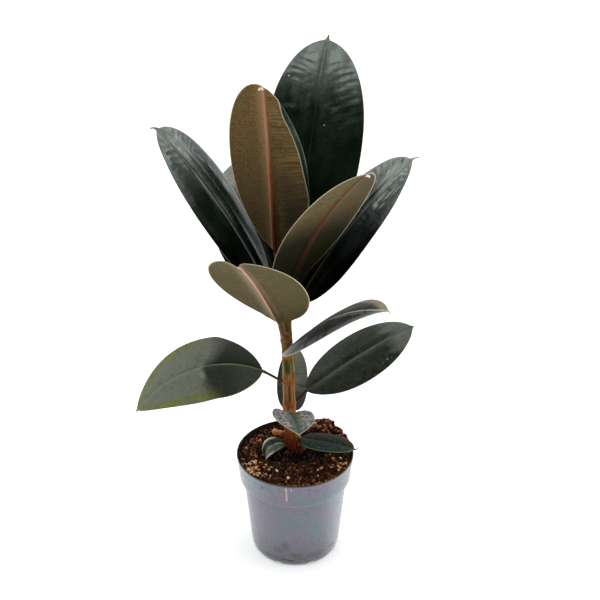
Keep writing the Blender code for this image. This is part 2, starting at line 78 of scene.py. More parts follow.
LEAF_KEYS = ("h", "paz", "pe", "lp", "rp", "L", "W", "az", "a1", "a2", "e0", "e1", "e2",
             "ro", "r1", "r2", "fold", "df", "curl", "k", "n", "m", "wa", "tip")
LEAVES = {
    "leaf_crown_back": (28.9, 58.5, 48, 3.05, 0.2, 21.3, 4.8, 67.5, 2.5, 0, 71.5, -5.5, -1,
        4, 2, 0.5, 5, 0, 9, 1.07, 2.25, 0.56, -0.04, 0.5),
    "leaf_crown_front": (29.35, -115, 68.5, 5.3, 0.2, 18.85, 4.1, -97, 5, -2, 76, -15.5, -2,
        -19.5, -12, -5.5, 5.5, 0, 13.5, 1.12, 2.15, 0.56, -0.02, 0.15),
    "leaf_crown_left": (27.3, 175.5, 59, 1.9, 0.2, 18.95, 4.15, 174.5, 2.5, 2.5, 67, -15.5, -2,
        -11, -5.5, -2.5, 8.5, 0, 18, 1, 2.3, 0.57, 0.01, 0.75),
    "leaf_crown_right_front": (27.7, -71.5, 74.5, 3.3, 0.2, 18.25, 4, -59.5, 3.5, 2.5, 63.5, -19, -5,
        7.5, -4.5, -4.5, 9, 0, 23.5, 0.95, 2.15, 0.59, -0.03, 0.2),
    "leaf_crown_right": (26.15, 14.5, 69.5, 1.95, 0.2, 17.4, 4.15, 12.5, -4.5, -5, 62, -19, 1,
        15, -1.5, -2, 8.5, 0, 12.5, 0.99, 2.3, 0.57, -0.01, 0.75),
    "leaf_crown_low_front": (24.5, -104.5, 60.5, 3.35, 0.2, 18.45, 4.15, -103.5, 4.5, -4, 47, -9, -1.5,
        -4.5, 10, -6.5, 8.5, 0, 10.5, 1.03, 2.05, 0.5, 0, 0.2),
    "leaf_crown_back_left": (26.1, 121.5, 52, 2.2, 0.2, 17.2, 4.15, 111, -4, -7.5, 41.5, -21.5, 2,
        -7.5, -3.5, -5.5, 2, 0, 10.5, 0.98, 2.2, 0.6, 0.04, 0.6),
    "leaf_low_left": (18.95, 198, 39.5, 2.7, 0.14, 14, 3.95, 199.5, -3.5, 6, 34, -86.5, 4,
        -26, 5.5, 27.5, 2, 0, 15.5, 0.98, 2.15, 0.67, 0.02, 0.45),
    "leaf_middle_right": (22.25, -102.5, 29, 0.85, 0.16, 15.1, 3.65, -45.5, 10, -3, 53, -18, -23,
        -4, 17, -27, 5, 14.5, 28.5, 0.9, 2.2, 0.79, 0.02, 0.5),
    "leaf_low_right": (16.45, 2, 50, 1.65, 0.13, 12.6, 3.15, 21, 0, -5.5, 29, -3.5, -5,
        13.5, 4, -1.5, 2, 0, 11.5, 0.98, 2.15, 0.65, -0.02, 0.3),
    "leaf_behind_stem": (13.8, 83.5, 38.5, 0.9, 0.12, 6.6, 1.6, 83, -2, -1.5, 76.5, -16.5, -0.5,
        0, -0.5, -0.5, 10, 0, 6, 0.86, 2.25, 0.49, 0.01, 0.2),
    "leaf_small_front": (15.7, -81.5, 24.5, 0.5, 0.12, 6.25, 2.15, -83.5, 1.5, 2, 31, -34.5, -4.5,
        -6, -2, -1.5, 16, 0, 16, 1.01, 2.05, 0.68, -0.05, 0.25),
    "leaf_small_right": (12.45, -34, 23, 0.8, 0.13, 6.2, 1.4, -36, 3.5, 5, 13.5, -17.5, 2.5,
        9, -2.5, -2, 5.5, 0, 9.5, 0.94, 2.25, 0.55, -0.02, 0.7),
    "leaf_small_left": (11.25, 220.5, 21, 0.5, 0.1, 3.4, 1, 220.5, -40, -3, 48.5, -158, -6.5,
        -12.5, -2, 1.5, 5, 0, 2, 1.01, 2.2, 0.55, -0.03, 0.15),
}

# How each blade departs from its plain solid.
#   n        stations along the blade
#   ripple   height of the waves over the side veins, from the base half to the tip half, cm
#   gap      distance between those waves, cm
#   wave     height of the slow undulation
#   crumple  height of irregular puckers towards the tip
#   notch    depth of the dent where the folded-over tip leaves the margin; notch_at how far beside the midrib
#   hook     turn of the drip tip, degrees (upward positive)
#   bow      sideways turn of the drip tip, degrees
#   flip     a pale tip folded over onto the underside: (length, sideways lean)
#   roll     margin rolled towards the underside: side, from, to, radius, turn, flat end
#   crease   a transverse crease: (t, height, how much it leans on the negative half)
#   shoulder extra rise of both halves right beside the midrib, degrees
#   rise     one half stands up more: (side, degrees, from)
#   droop    one half bends down towards its margin: (side, from, degrees)
#   wander   how irregular the spacing of the ribs is
#   lean     how far the ribs run towards the tip
#   nod      (from, degrees): the outer part bends back
#   vee      (degrees, until): the halves stand up beside the stem
#   drop     height shift (at the base, at the tip)
#   stalk    thickness of the leaf stalk against the solid: (at the stem, at the blade)
SHAPE = {
    "leaf_crown_back": dict(n=190, ripple=(0.003, 0.022), gap=1.00, lean=0.55, wave=0.06, crumple=0.04, hook=25, bow=-20, shoulder=6, nod=(0.70, -15), wander=3.4),
    "leaf_crown_front": dict(n=180, ripple=(0.006, 0.010), gap=0.55, wave=0.03, notch=0.10, tip=0.05, flip=(0.80, -1.0),
                             roll=(1, 0.20, 1.02, 0.25, 150, 0.12), shoulder=9),
    "leaf_crown_left": dict(n=180, ripple=(0.002, 0.012), gap=0.70, lean=0.5, wave=0.06, crumple=0.06, hook=-70, bow=10, shoulder=26, nod=(0.7, -3), droop=(-1, 0.55, 13), wander=3.0),
    "leaf_crown_right_front": dict(n=180, ripple=(0.006, 0.010), gap=0.50, wave=0.03, notch=0.10, tip=0.05, flip=(1.05, 1.0), shoulder=6),
    "leaf_crown_right": dict(n=180, ripple=(0.002, 0.016), gap=0.80, lean=0.6, wave=0.07, crumple=0.06, hook=-48, bow=-8, shoulder=20, wander=3.0),
    "leaf_crown_low_front": dict(n=180, ripple=(0.005, 0.008), gap=0.50, wave=0.03, notch=2.8, notch_at=-0.35, tip=0.05, shoulder=6, stalk=(1.75, 1.25)),
    "leaf_crown_back_left": dict(n=150, ripple=(0.004, 0.020), gap=0.80, wave=0.05, crumple=0.02, hook=20, bow=0, shoulder=12),
    "leaf_low_left": dict(n=150, ripple=(0.003, 0.005), gap=0.75, wave=0.03, hook=-25, bow=0, crease=(0.43, 0.30, 0.5), shoulder=6),
    "leaf_middle_right": dict(n=150, ripple=(0.020, 0.026), gap=0.50, lean=0.6, wave=0.03, crumple=0.03, hook=-70, bow=0, shoulder=12, rise=(1, 3.0, 0.45)),
    "leaf_low_right": dict(n=140, ripple=(0.004, 0.008), gap=0.60, wave=0.07, hook=-20, bow=0, shoulder=11, nod=(0.75, -5)),
    "leaf_behind_stem": dict(n=90, ripple=(0.034, 0.034), gap=0.66, wave=0.02, hook=0, bow=0, shoulder=6),
    "leaf_small_front": dict(n=90, ripple=(0.018, 0.026), gap=0.42, wave=0.08, crumple=0.05, hook=0, bow=0, shoulder=14, vee=(20, 0.75), drop=(-0.42, -0.05)),
    "leaf_small_right": dict(n=90, ripple=(0.008, 0.010), gap=0.40, wave=0.05, hook=80, bow=25, shoulder=3, drop=(-0.34, 0.0)),
    "leaf_small_left": dict(n=80, ripple=(0.045, 0.060), gap=0.48, lean=0.5, wave=0.05, hook=0, bow=0, shoulder=10),
}


# ================================================================ noise
def lattice(i, j, k, seed):
    n = (i * 374761393 + j * 668265263 + k * 144665239 + seed * 97471129) & 0xFFFFFFFF
    n = ((n ^ (n >> 13)) * 1274126177) & 0xFFFFFFFF
    n = n ^ (n >> 16)
    return (n & 0xFFFFFF) / 8388607.5 - 1.0


def noise3(x, y, z=0.0, seed=0):
    """Smooth value noise from -1 to 1 on arrays."""
    x, y, z = np.broadcast_arrays(np.asarray(x, float), np.asarray(y, float), np.asarray(z, float))
    xi, yi, zi = np.floor(x), np.floor(y), np.floor(z)
    fx, fy, fz = x - xi, y - yi, z - zi
    fx, fy, fz = (f * f * f * (f * (f * 6 - 15) + 10) for f in (fx, fy, fz))
    xi, yi, zi = xi.astype(np.int64), yi.astype(np.int64), zi.astype(np.int64)
    total = 0.0
    for dx in (0, 1):
        wx = fx if dx else 1 - fx
        for dy in (0, 1):
            wy = fy if dy else 1 - fy
            for dz in (0, 1):
                wz = fz if dz else 1 - fz
                total = total + wx * wy * wz * lattice(xi + dx, yi + dy, zi + dz, seed)
    return total


def fbm(x, y, z=0.0, seed=0, octaves=4, gain=0.5):
    total, amp, f = 0.0, 1.0, 1.0
    for o in range(octaves):
        total = total + amp * noise3(np.asarray(x) * f, np.asarray(y) * f, np.asarray(z) * f, seed + 17 * o)
        amp *= gain
        f *= 2.03
    return total


def smooth(x):
    x = np.clip(x, 0.0, 1.0)
    return x * x * (3.0 - 2.0 * x)


# ================================================================ meshes
def new_piece(name, verts_cm, faces, mats, index=None, attributes=None, replaces=None):
    mesh = bpy.data.meshes.new(name)
    mesh.from_pydata((np.asarray(verts_cm, float) * CM).tolist(), [], [tuple(f) for f in faces])
    for m in mats:
        mesh.materials.append(m)
    if index is not None:
        mesh.polygons.foreach_set("material_index", np.asarray(index, dtype=np.int32))
    for key, values in (attributes or {}).items():
        values = np.asarray(values, dtype=np.float32)
        if values.ndim == 1:
            mesh.attributes.new(key, "FLOAT", "POINT").data.foreach_set("value", values)
        else:
            mesh.attributes.new(key, "FLOAT_VECTOR", "POINT").data.foreach_set("vector", values.ravel())
    mesh.update()
    mesh.shade_smooth()
    ob = bpy.data.objects.new(name, mesh)
    bpy.context.scene.collection.objects.link(ob)
    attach(ob, "root")
    if replaces:
        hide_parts(*([replaces] if isinstance(replaces, str) else replaces))
    return ob


def ring_quads(k, m, offset=0):
    i = np.arange(k - 1)[:, None]
    j = np.arange(m)[None, :]
    a = offset + i * m + j
    b = offset + i * m + (j + 1) % m
    return np.stack([a, b, b + m, a + m], -1).reshape(-1, 4)


def tube(path, radii, sides=8, flat=1.0, up=(0, 0, 1)):
    """A closed tube along a path; returns points and faces."""
    path = np.asarray(path, float)
    tangent = np.gradient(path, axis=0)
    tangent /= np.linalg.norm(tangent, axis=1)[:, None] + 1e-9
    ref = np.asarray(up, float)
    side = np.cross(tangent, ref)
    bad = np.linalg.norm(side, axis=1) < 1e-3
    side[bad] = np.cross(tangent[bad], (1.0, 0.2, 0.1))
    side /= np.linalg.norm(side, axis=1)[:, None]
    norm = np.cross(side, tangent)
    a = np.linspace(0, 2 * math.pi, sides, endpoint=False)
    r = np.asarray(radii, float)[:, None, None]
    pts = path[:, None] + r * (np.cos(a)[None, :, None] * side[:, None] + flat * np.sin(a)[None, :, None] * norm[:, None])
    k = len(path)
    verts = np.vstack([pts.reshape(-1, 3), path[0], path[-1]])
    quads = [tuple(q) for q in ring_quads(k, sides)]
    caps = [(k * sides, (j + 1) % sides, j) for j in range(sides)]
    caps += [(k * sides + 1, (k - 1) * sides + j, (k - 1) * sides + (j + 1) % sides) for j in range(sides)]
    faces = quads + caps
    # outward: test one quad against the path
    q = quads[0]
    n = np.cross(verts[q[1]] - verts[q[0]], verts[q[3]] - verts[q[0]])
    if np.dot(n, verts[list(q)].mean(0) - path[0]) < 0:
        faces = [tuple(reversed(f)) for f in faces]
    return verts, faces


# ================================================================ materials
class Look:
    """A node material under construction."""

    def __init__(self, name, **surface):
        self.mat = bpy.data.materials.new(name)
        self.mat.use_nodes = True
        self.tree = self.mat.node_tree
        self.tree.nodes.clear()
        out = self.tree.nodes.new("ShaderNodeOutputMaterial")
        self.bsdf = self.tree.nodes.new("ShaderNodeBsdfPrincipled")
        self.tree.links.new(self.bsdf.outputs[0], out.inputs[0])
        for key, value in surface.items():
            self.bsdf.inputs[key.replace("_", " ")].default_value = value

    def node(self, kind, **props):
        n = self.tree.nodes.new(kind)
        for key, value in props.items():
            setattr(n, key, value)
        return n

    def put(self, socket, value):
        if isinstance(value, bpy.types.NodeSocket):
            self.tree.links.new(value, socket)
        else:
            if isinstance(value, (tuple, list)) and len(value) == 3 and len(socket.default_value) == 4:
                value = (*value, 1.0)
            socket.default_value = value

    def math(self, op, a, b=0.0, clamp=False):
        n = self.node("ShaderNodeMath", operation=op, use_clamp=clamp)
        self.put(n.inputs[0], a)
        self.put(n.inputs[1], b)
        return n.outputs[0]

    def add(self, a, b):
        return self.math("ADD", a, b)

    def mul(self, a, b):
        return self.math("MULTIPLY", a, b)

    def sub(self, a, b):
        return self.math("SUBTRACT", a, b)

    def mix(self, f, a, b, mode="MIX"):
        n = self.node("ShaderNodeMix", data_type="RGBA", blend_type=mode, clamp_factor=True)
        self.put(n.inputs[0], f)
        self.put(n.inputs[6], a)
        self.put(n.inputs[7], b)
        return n.outputs[2]

    def step(self, x, lo, hi, a=0.0, b=1.0):
        """a where x is below lo, b where it is above hi, smooth between; lo may exceed hi."""
        if not isinstance(lo, bpy.types.NodeSocket) and not isinstance(hi, bpy.types.NodeSocket) and lo > hi:
            lo, hi, a, b = hi, lo, b, a
        n = self.node("ShaderNodeMapRange", interpolation_type="SMOOTHSTEP")
        for s, v in zip(n.inputs[:5], (x, lo, hi, a, b)):
            self.put(s, v)
        return n.outputs[0]

    def attribute(self, name):
        return self.node("ShaderNodeAttribute", attribute_name=name)

    def split(self, vector):
        n = self.node("ShaderNodeSeparateXYZ")
        self.put(n.inputs[0], vector)
        return n.outputs

    def join(self, x, y, z):
        n = self.node("ShaderNodeCombineXYZ")
        for s, v in zip(n.inputs, (x, y, z)):
            self.put(s, v)
        return n.outputs[0]

    def noise(self, vector, scale, detail=3.0, rough=0.55, distort=0.0):
        n = self.node("ShaderNodeTexNoise")
        self.put(n.inputs["Vector"], vector)
        n.inputs["Scale"].default_value = scale
        n.inputs["Detail"].default_value = detail
        n.inputs["Roughness"].default_value = rough
        n.inputs["Distortion"].default_value = distort
        return n.outputs[0]

    def voronoi(self, vector, scale, feature="F1", randomness=1.0):
        n = self.node("ShaderNodeTexVoronoi", feature=feature)
        self.put(n.inputs["Vector"], vector)
        n.inputs["Scale"].default_value = scale
        n.inputs["Randomness"].default_value = randomness
        return n

    def ramp(self, f, stops, interpolation="LINEAR"):
        n = self.node("ShaderNodeValToRGB")
        r = n.color_ramp
        r.interpolation = interpolation
        r.elements[0].position, r.elements[0].color = stops[0][0], (*stops[0][1], 1)
        r.elements[1].position, r.elements[1].color = stops[-1][0], (*stops[-1][1], 1)
        for pos, col in stops[1:-1]:
            e = r.elements.new(pos)
            e.color = (*col, 1)
        self.put(n.inputs[0], f)
        return n.outputs[0]

    def coordinates(self):
        """Object coordinates in centimetres."""
        tc = self.node("ShaderNodeTexCoord")
        m = self.node("ShaderNodeVectorMath", operation="SCALE")
        self.put(m.inputs[0], tc.outputs["Object"])
        m.inputs["Scale"].default_value = 100.0
        return m.outputs[0]

    def stretch(self, vector, x, y, z):
        m = self.node("ShaderNodeVectorMath", operation="MULTIPLY")
        self.put(m.inputs[0], vector)
        m.inputs[1].default_value = (x, y, z)
        return m.outputs[0]

    def distance(self, vector, point):
        m = self.node("ShaderNodeVectorMath", operation="DISTANCE")
        self.put(m.inputs[0], vector)
        m.inputs[1].default_value = point
        return m.outputs["Value"]

    def bump(self, height, strength=1.0, distance=0.0002, normal=None):
        n = self.node("ShaderNodeBump")
        n.inputs["Strength"].default_value = strength
        n.inputs["Distance"].default_value = distance
        self.put(n.inputs["Height"], height)
        if normal is not None:
            self.put(n.inputs["Normal"], normal)
        return n.outputs[0]

    def finish(self, colour, roughness=None, normal=None):
        self.put(self.bsdf.inputs["Base Color"], colour)
        if roughness is not None:
            self.put(self.bsdf.inputs["Roughness"], roughness)
        if normal is not None:
            self.put(self.bsdf.inputs["Normal"], normal)
        return self.mat


def blade_values(look):
    """Signed distance from the midrib, distance along the blade, distance from the margin (cm), and |s|."""
    s, t, e = look.split(look.attribute("leaf").outputs["Vector"])
    return s, t, e, look.math("ABSOLUTE", s)


def side_veins(look, s_abs, t, gap, lean=0.28, wobble=0.10, seed=0.0):
    """1 on the side veins, 0 between them; they run nearly square to the midrib and lean to the tip."""
    wob = look.noise(look.join(s_abs, t, seed), 0.55, 2.0)
    phase = look.math("DIVIDE", look.sub(t, look.mul(s_abs, lean)), gap)
    phase = look.add(phase, look.mul(wob, wobble / gap * 4.0))
    saw = look.math("PINGPONG", phase, 0.5)          # 0 on a vein, 0.5 between two
    return look.step(saw, 0.17, 0.0)


def blade_top(name, deep, light, rib, rib_pale, edge, rough, gap, vein=0.25, dust=None, dust_amount=0.0, dust_scale=1.3, dust_cover=(0.36, 0.76),
              rim_width=0.07, gloss=0.5, dark_veins=0.0,
              specks=0.0, marks=(), patch=None, seed=0.0, bump=1.0, rib_width=(0.085, 0.035), shaded_base=None, halves=None,
              pale_foot=None, painted_sheen=None, shaded_foot=None, tint=None, halves_from=None, halves_reach=(1.7, 0.1), halves_near=None,
              dull=None, dust_side=0.0, foot_to=1.5, painted_glints=(), shaded_side=None, blotch=None, rim_from=None):
    """Waxy upper side."""
    k = Look(name, IOR=1.45)
    k.bsdf.inputs["Specular IOR Level"].default_value = gloss
    if tint:
        k.bsdf.inputs["Specular Tint"].default_value = (*tint, 1.0)
    s, t, e, sa = blade_values(k)
    flat = k.join(s, t, seed)
    broad = k.noise(flat, 0.35, 3.0)
    fine = k.noise(flat, 3.5, 4.0, 0.6)
    grain = k.noise(flat, 18.0, 3.0, 0.6)
    veins = side_veins(k, sa, t, gap, seed=seed)
    colour = k.mix(k.step(broad, 0.35, 0.68), deep, light)
    colour = k.mix(k.mul(k.step(fine, 0.42, 0.70), 0.35), colour, light)
    colour = k.mix(k.mul(veins, vein), colour, tuple(c * 1.7 + 0.002 for c in light))
    if halves:
        # (colour on the positive half, amount, colour on the negative half, amount), coming in from the margin
        ca, na, cb, nb = halves
        inward = k.step(k.add(e, k.mul(k.sub(fine, 0.5), 0.5)), *halves_reach)
        if halves_from:
            inward = k.mul(inward, k.step(t, *halves_from))
        colour = k.mix(k.mul(k.mul(inward, k.step(s, 0.02, 0.25)), na), colour, ca)
        if halves_near:
            inward = k.step(k.add(e, k.mul(k.sub(fine, 0.5), 0.9)), *halves_near)
            if halves_from:
                inward = k.mul(inward, k.step(t, *halves_from))
        colour = k.mix(k.mul(k.mul(inward, k.step(s, -0.02, -0.25)), nb), colour, cb)
    film = None
    if dust:
        cloud = k.noise(flat, dust_scale, 5.0, 0.65, 0.4)
        film = k.mul(k.step(cloud, *dust_cover), dust_amount)
        film = k.mul(film, k.step(grain, 0.25, 0.62, 0.55, 1.0))
        if dust_side:
            film = k.mul(film, k.step(sa, 0.10, dust_side, 0.15, 1.0))
        colour = k.mix(film, colour, dust)
    if blotch:
        # (amount, one tint, another tint)
        amount, tint_a, tint_b = blotch
        spot = k.noise(flat, 1.5, 5.0, 0.7, 0.3)
        colour = k.mix(k.mul(k.step(spot, 0.52, 0.62), amount), colour, tint_a)
        colour = k.mix(k.mul(k.step(spot, 0.47, 0.37), amount), colour, tint_b)
        colour = k.mix(k.mul(k.step(k.noise(flat, 4.5, 4.0, 0.7), 0.53, 0.63), amount * 0.8), colour, tuple(c * 0.45 for c in tint_a))
    if shaded_base:
        # (t where the lighter outer part ends, darkness): painted shade darkens the part near the stalk
        t0, dark = shaded_base
        wob = k.mul(k.sub(fine, 0.5), 0.9)
        sharp = k.step(k.add(t, wob), t0 + 0.35, t0 - 0.25)
        soft = k.mul(k.step(k.add(k.add(t, k.mul(sa, 0.9)), wob), t0 + 0.3, t0 - 1.7), k.step(sa, 1.0, 2.2, 1.0, 0.80))
        pick = k.step(s, -0.15, 0.10)
        blurred = k.step(k.add(t, k.mul(wob, 1.4)), t0 + 1.2, t0 - 0.6)
        far = k.step(s, 0.9, 2.0)
        lower = k.add(k.mul(sharp, k.sub(1.0, far)), k.mul(blurred, far))
        lower = k.mul(lower, k.step(k.add(t, k.mul(wob, 1.2)), t0 - 1.6, t0 - 4.2, 1.0, 0.62))
        inner = k.add(k.mul(lower, pick), k.mul(soft, k.sub(1.0, pick)))
        colour = k.mix(k.mul(inner, dark), colour, deep)
        brown = k.mul(inner, k.step(k.noise(flat, 1.1, 4.0, 0.6), 0.50, 0.72))
        colour = k.mix(k.mul(brown, 0.5), colour, (0.034, 0.026, 0.014))
        fleck = k.noise(flat, 3.2, 4.0, 0.7)
        colour = k.mix(k.mul(inner, k.step(fleck, 0.53, 0.64, 0.0, 0.55)), colour, (0.060, 0.045, 0.033))
        colour = k.mix(k.mul(inner, k.step(fleck, 0.47, 0.37, 0.0, 0.45)), colour, (0.018, 0.036, 0.020))
    if patch:
        # (colour, start t, end t, strength): a tint that comes in towards the margin and the tip
        tint, lo, hi, amount = patch
        near = k.mul(k.step(t, lo, hi), k.step(e, 1.5, 0.35))
        near = k.mul(near, k.step(k.noise(flat, 0.9, 4.0, 0.6), 0.32, 0.52))
        yellow = k.mix(k.step(k.noise(flat, 2.1, 3.0, 0.6), 0.42, 0.60), tint, (tint[0] * 0.55, tint[1] * 0.80, tint[2] * 1.5))
        colour = k.mix(k.mul(near, amount), colour, yellow)
    if pale_foot:
        foot = k.mul(k.step(k.add(t, k.mul(k.sub(fine, 0.5), 1.2)), foot_to, foot_to * 0.15), 0.75)
        colour = k.mix(foot, colour, pale_foot)
    if shaded_foot:
        # painted shade towards the stalk: (t where it begins, t where it is full, amount, colour)
        d0, d1, amount, shade_colour = shaded_foot
        colour = k.mix(k.mul(k.step(t, d0, d1), amount), colour, shade_colour)
    if shaded_side:
        # painted shade on one half towards the stalk: (half, t where it begins, t where it is full, amount)
        half, d0, d1, amount = shaded_side
        colour = k.mix(k.mul(k.mul(k.step(t, d0, d1), k.step(k.mul(s, half), 0.15, 0.8)), amount), colour, tuple(c * 0.5 for c in deep))
    if painted_sheen:
        # painted sheen: (start t, end t, amount, colour), a grey film that thickens towards the tip and stands in for
        # the highlight there
        lo, hi, amount, sheen_colour = painted_sheen
        streaky = k.noise(k.stretch(flat, 0.9, 0.35, 1.0), 1.1, 4.0, 0.6)
        sheen_cover = k.mul(k.step(k.add(t, k.mul(k.sub(streaky, 0.5), 5.0)), lo, hi), amount)
        colour = k.mix(k.mul(sheen_cover, k.step(fine, 0.25, 0.6, 0.6, 1.0)), colour, sheen_colour)
    if painted_glints:
        # painted highlights, light grey streaks: (s, t, half width, half length, amount)
        glint_breakup = k.step(k.noise(k.stretch(flat, 1.3, 0.5, 1.0), 1.6, 5.0, 0.65), 0.36, 0.60, 0.35, 1.0)
        for ws, wt, ds, dt, amount in painted_glints:
            d = k.distance(k.stretch(k.join(s, t, 0.0), 1 / ds, 1 / dt, 0.0), (ws / ds, wt / dt, 0.0))
            colour = k.mix(k.mul(k.mul(k.step(d, 1.0, 0.25), glint_breakup), amount), colour, (0.46, 0.48, 0.46))
    # midrib: a dark red or pale green line, palest at the base
    width = k.step(t, 0.0, 14.0, *rib_width)
    core = k.step(k.math("DIVIDE", sa, width), 1.25, 0.55)
    line = k.mix(k.step(t, 5.0, 0.3), rib, rib_pale)
    colour = k.mix(k.mul(core, 0.85), colour, line)
    if dark_veins:
        across = k.step(k.noise(k.join(k.mul(sa, 0.25), k.mul(t, 2.6), seed), 1.0, 2.0, 0.5), 0.58, 0.68)
        colour = k.mix(k.mul(across, dark_veins), colour, tuple(c * 0.5 for c in deep))
    rim = k.mul(k.step(k.add(e, k.mul(k.sub(fine, 0.5), 0.03)), rim_width, rim_width * 0.3), k.step(t, 0.3, 1.4))
    if rim_from:
        # (t, t): the pale rim of the positive half fades out nearer the stalk
        fade = k.mul(k.step(t, rim_from[1], rim_from[0]), k.step(s, 0.0, 0.3))
        rim = k.mul(rim, k.sub(1.0, k.mul(fade, 0.8)))
    colour = k.mix(k.mul(rim, 0.8), colour, edge)
    if specks:
        v = k.voronoi(flat, 2.6)
        size = k.step(k.noise(flat, 0.9, 1.0), 0.50, 0.72, 0.0, specks)
        dots = k.math("LESS_THAN", v.outputs["Distance"], size)
        colour = k.mix(k.mul(dots, 0.75), colour, (0.50, 0.52, 0.48))
    for ps, pt, pr in marks:
        d = k.distance(flat, (ps, pt, seed))
        colour = k.mix(k.step(d, pr, pr * 0.4), colour, (0.55, 0.60, 0.58))
    roughness = k.add(rough, k.mul(k.sub(fine, 0.5), 0.14))
    if film is not None:
        roughness = k.add(roughness, k.mul(film, 0.4))
    if dull:
        # (t where the wax is full, t where it is worn, what is left): the gloss is uneven too
        d0, d1, left = dull
        fade = k.step(k.add(t, k.mul(k.sub(broad, 0.5), 6.0)), d0, d1, gloss, gloss * left)
        k.put(k.bsdf.inputs["Specular IOR Level"], k.mul(fade, k.step(k.noise(k.stretch(flat, 1.0, 0.45, 1.0), 0.9, 4.0, 0.6), 0.40, 0.60, 0.55, 1.3)))
    height = k.add(k.mul(veins, -0.22), k.add(k.mul(fine, 0.45), k.mul(grain, 0.12)))
    normal = k.bump(height, 0.40 * bump, 0.0005)
    return k.finish(colour, roughness, normal)


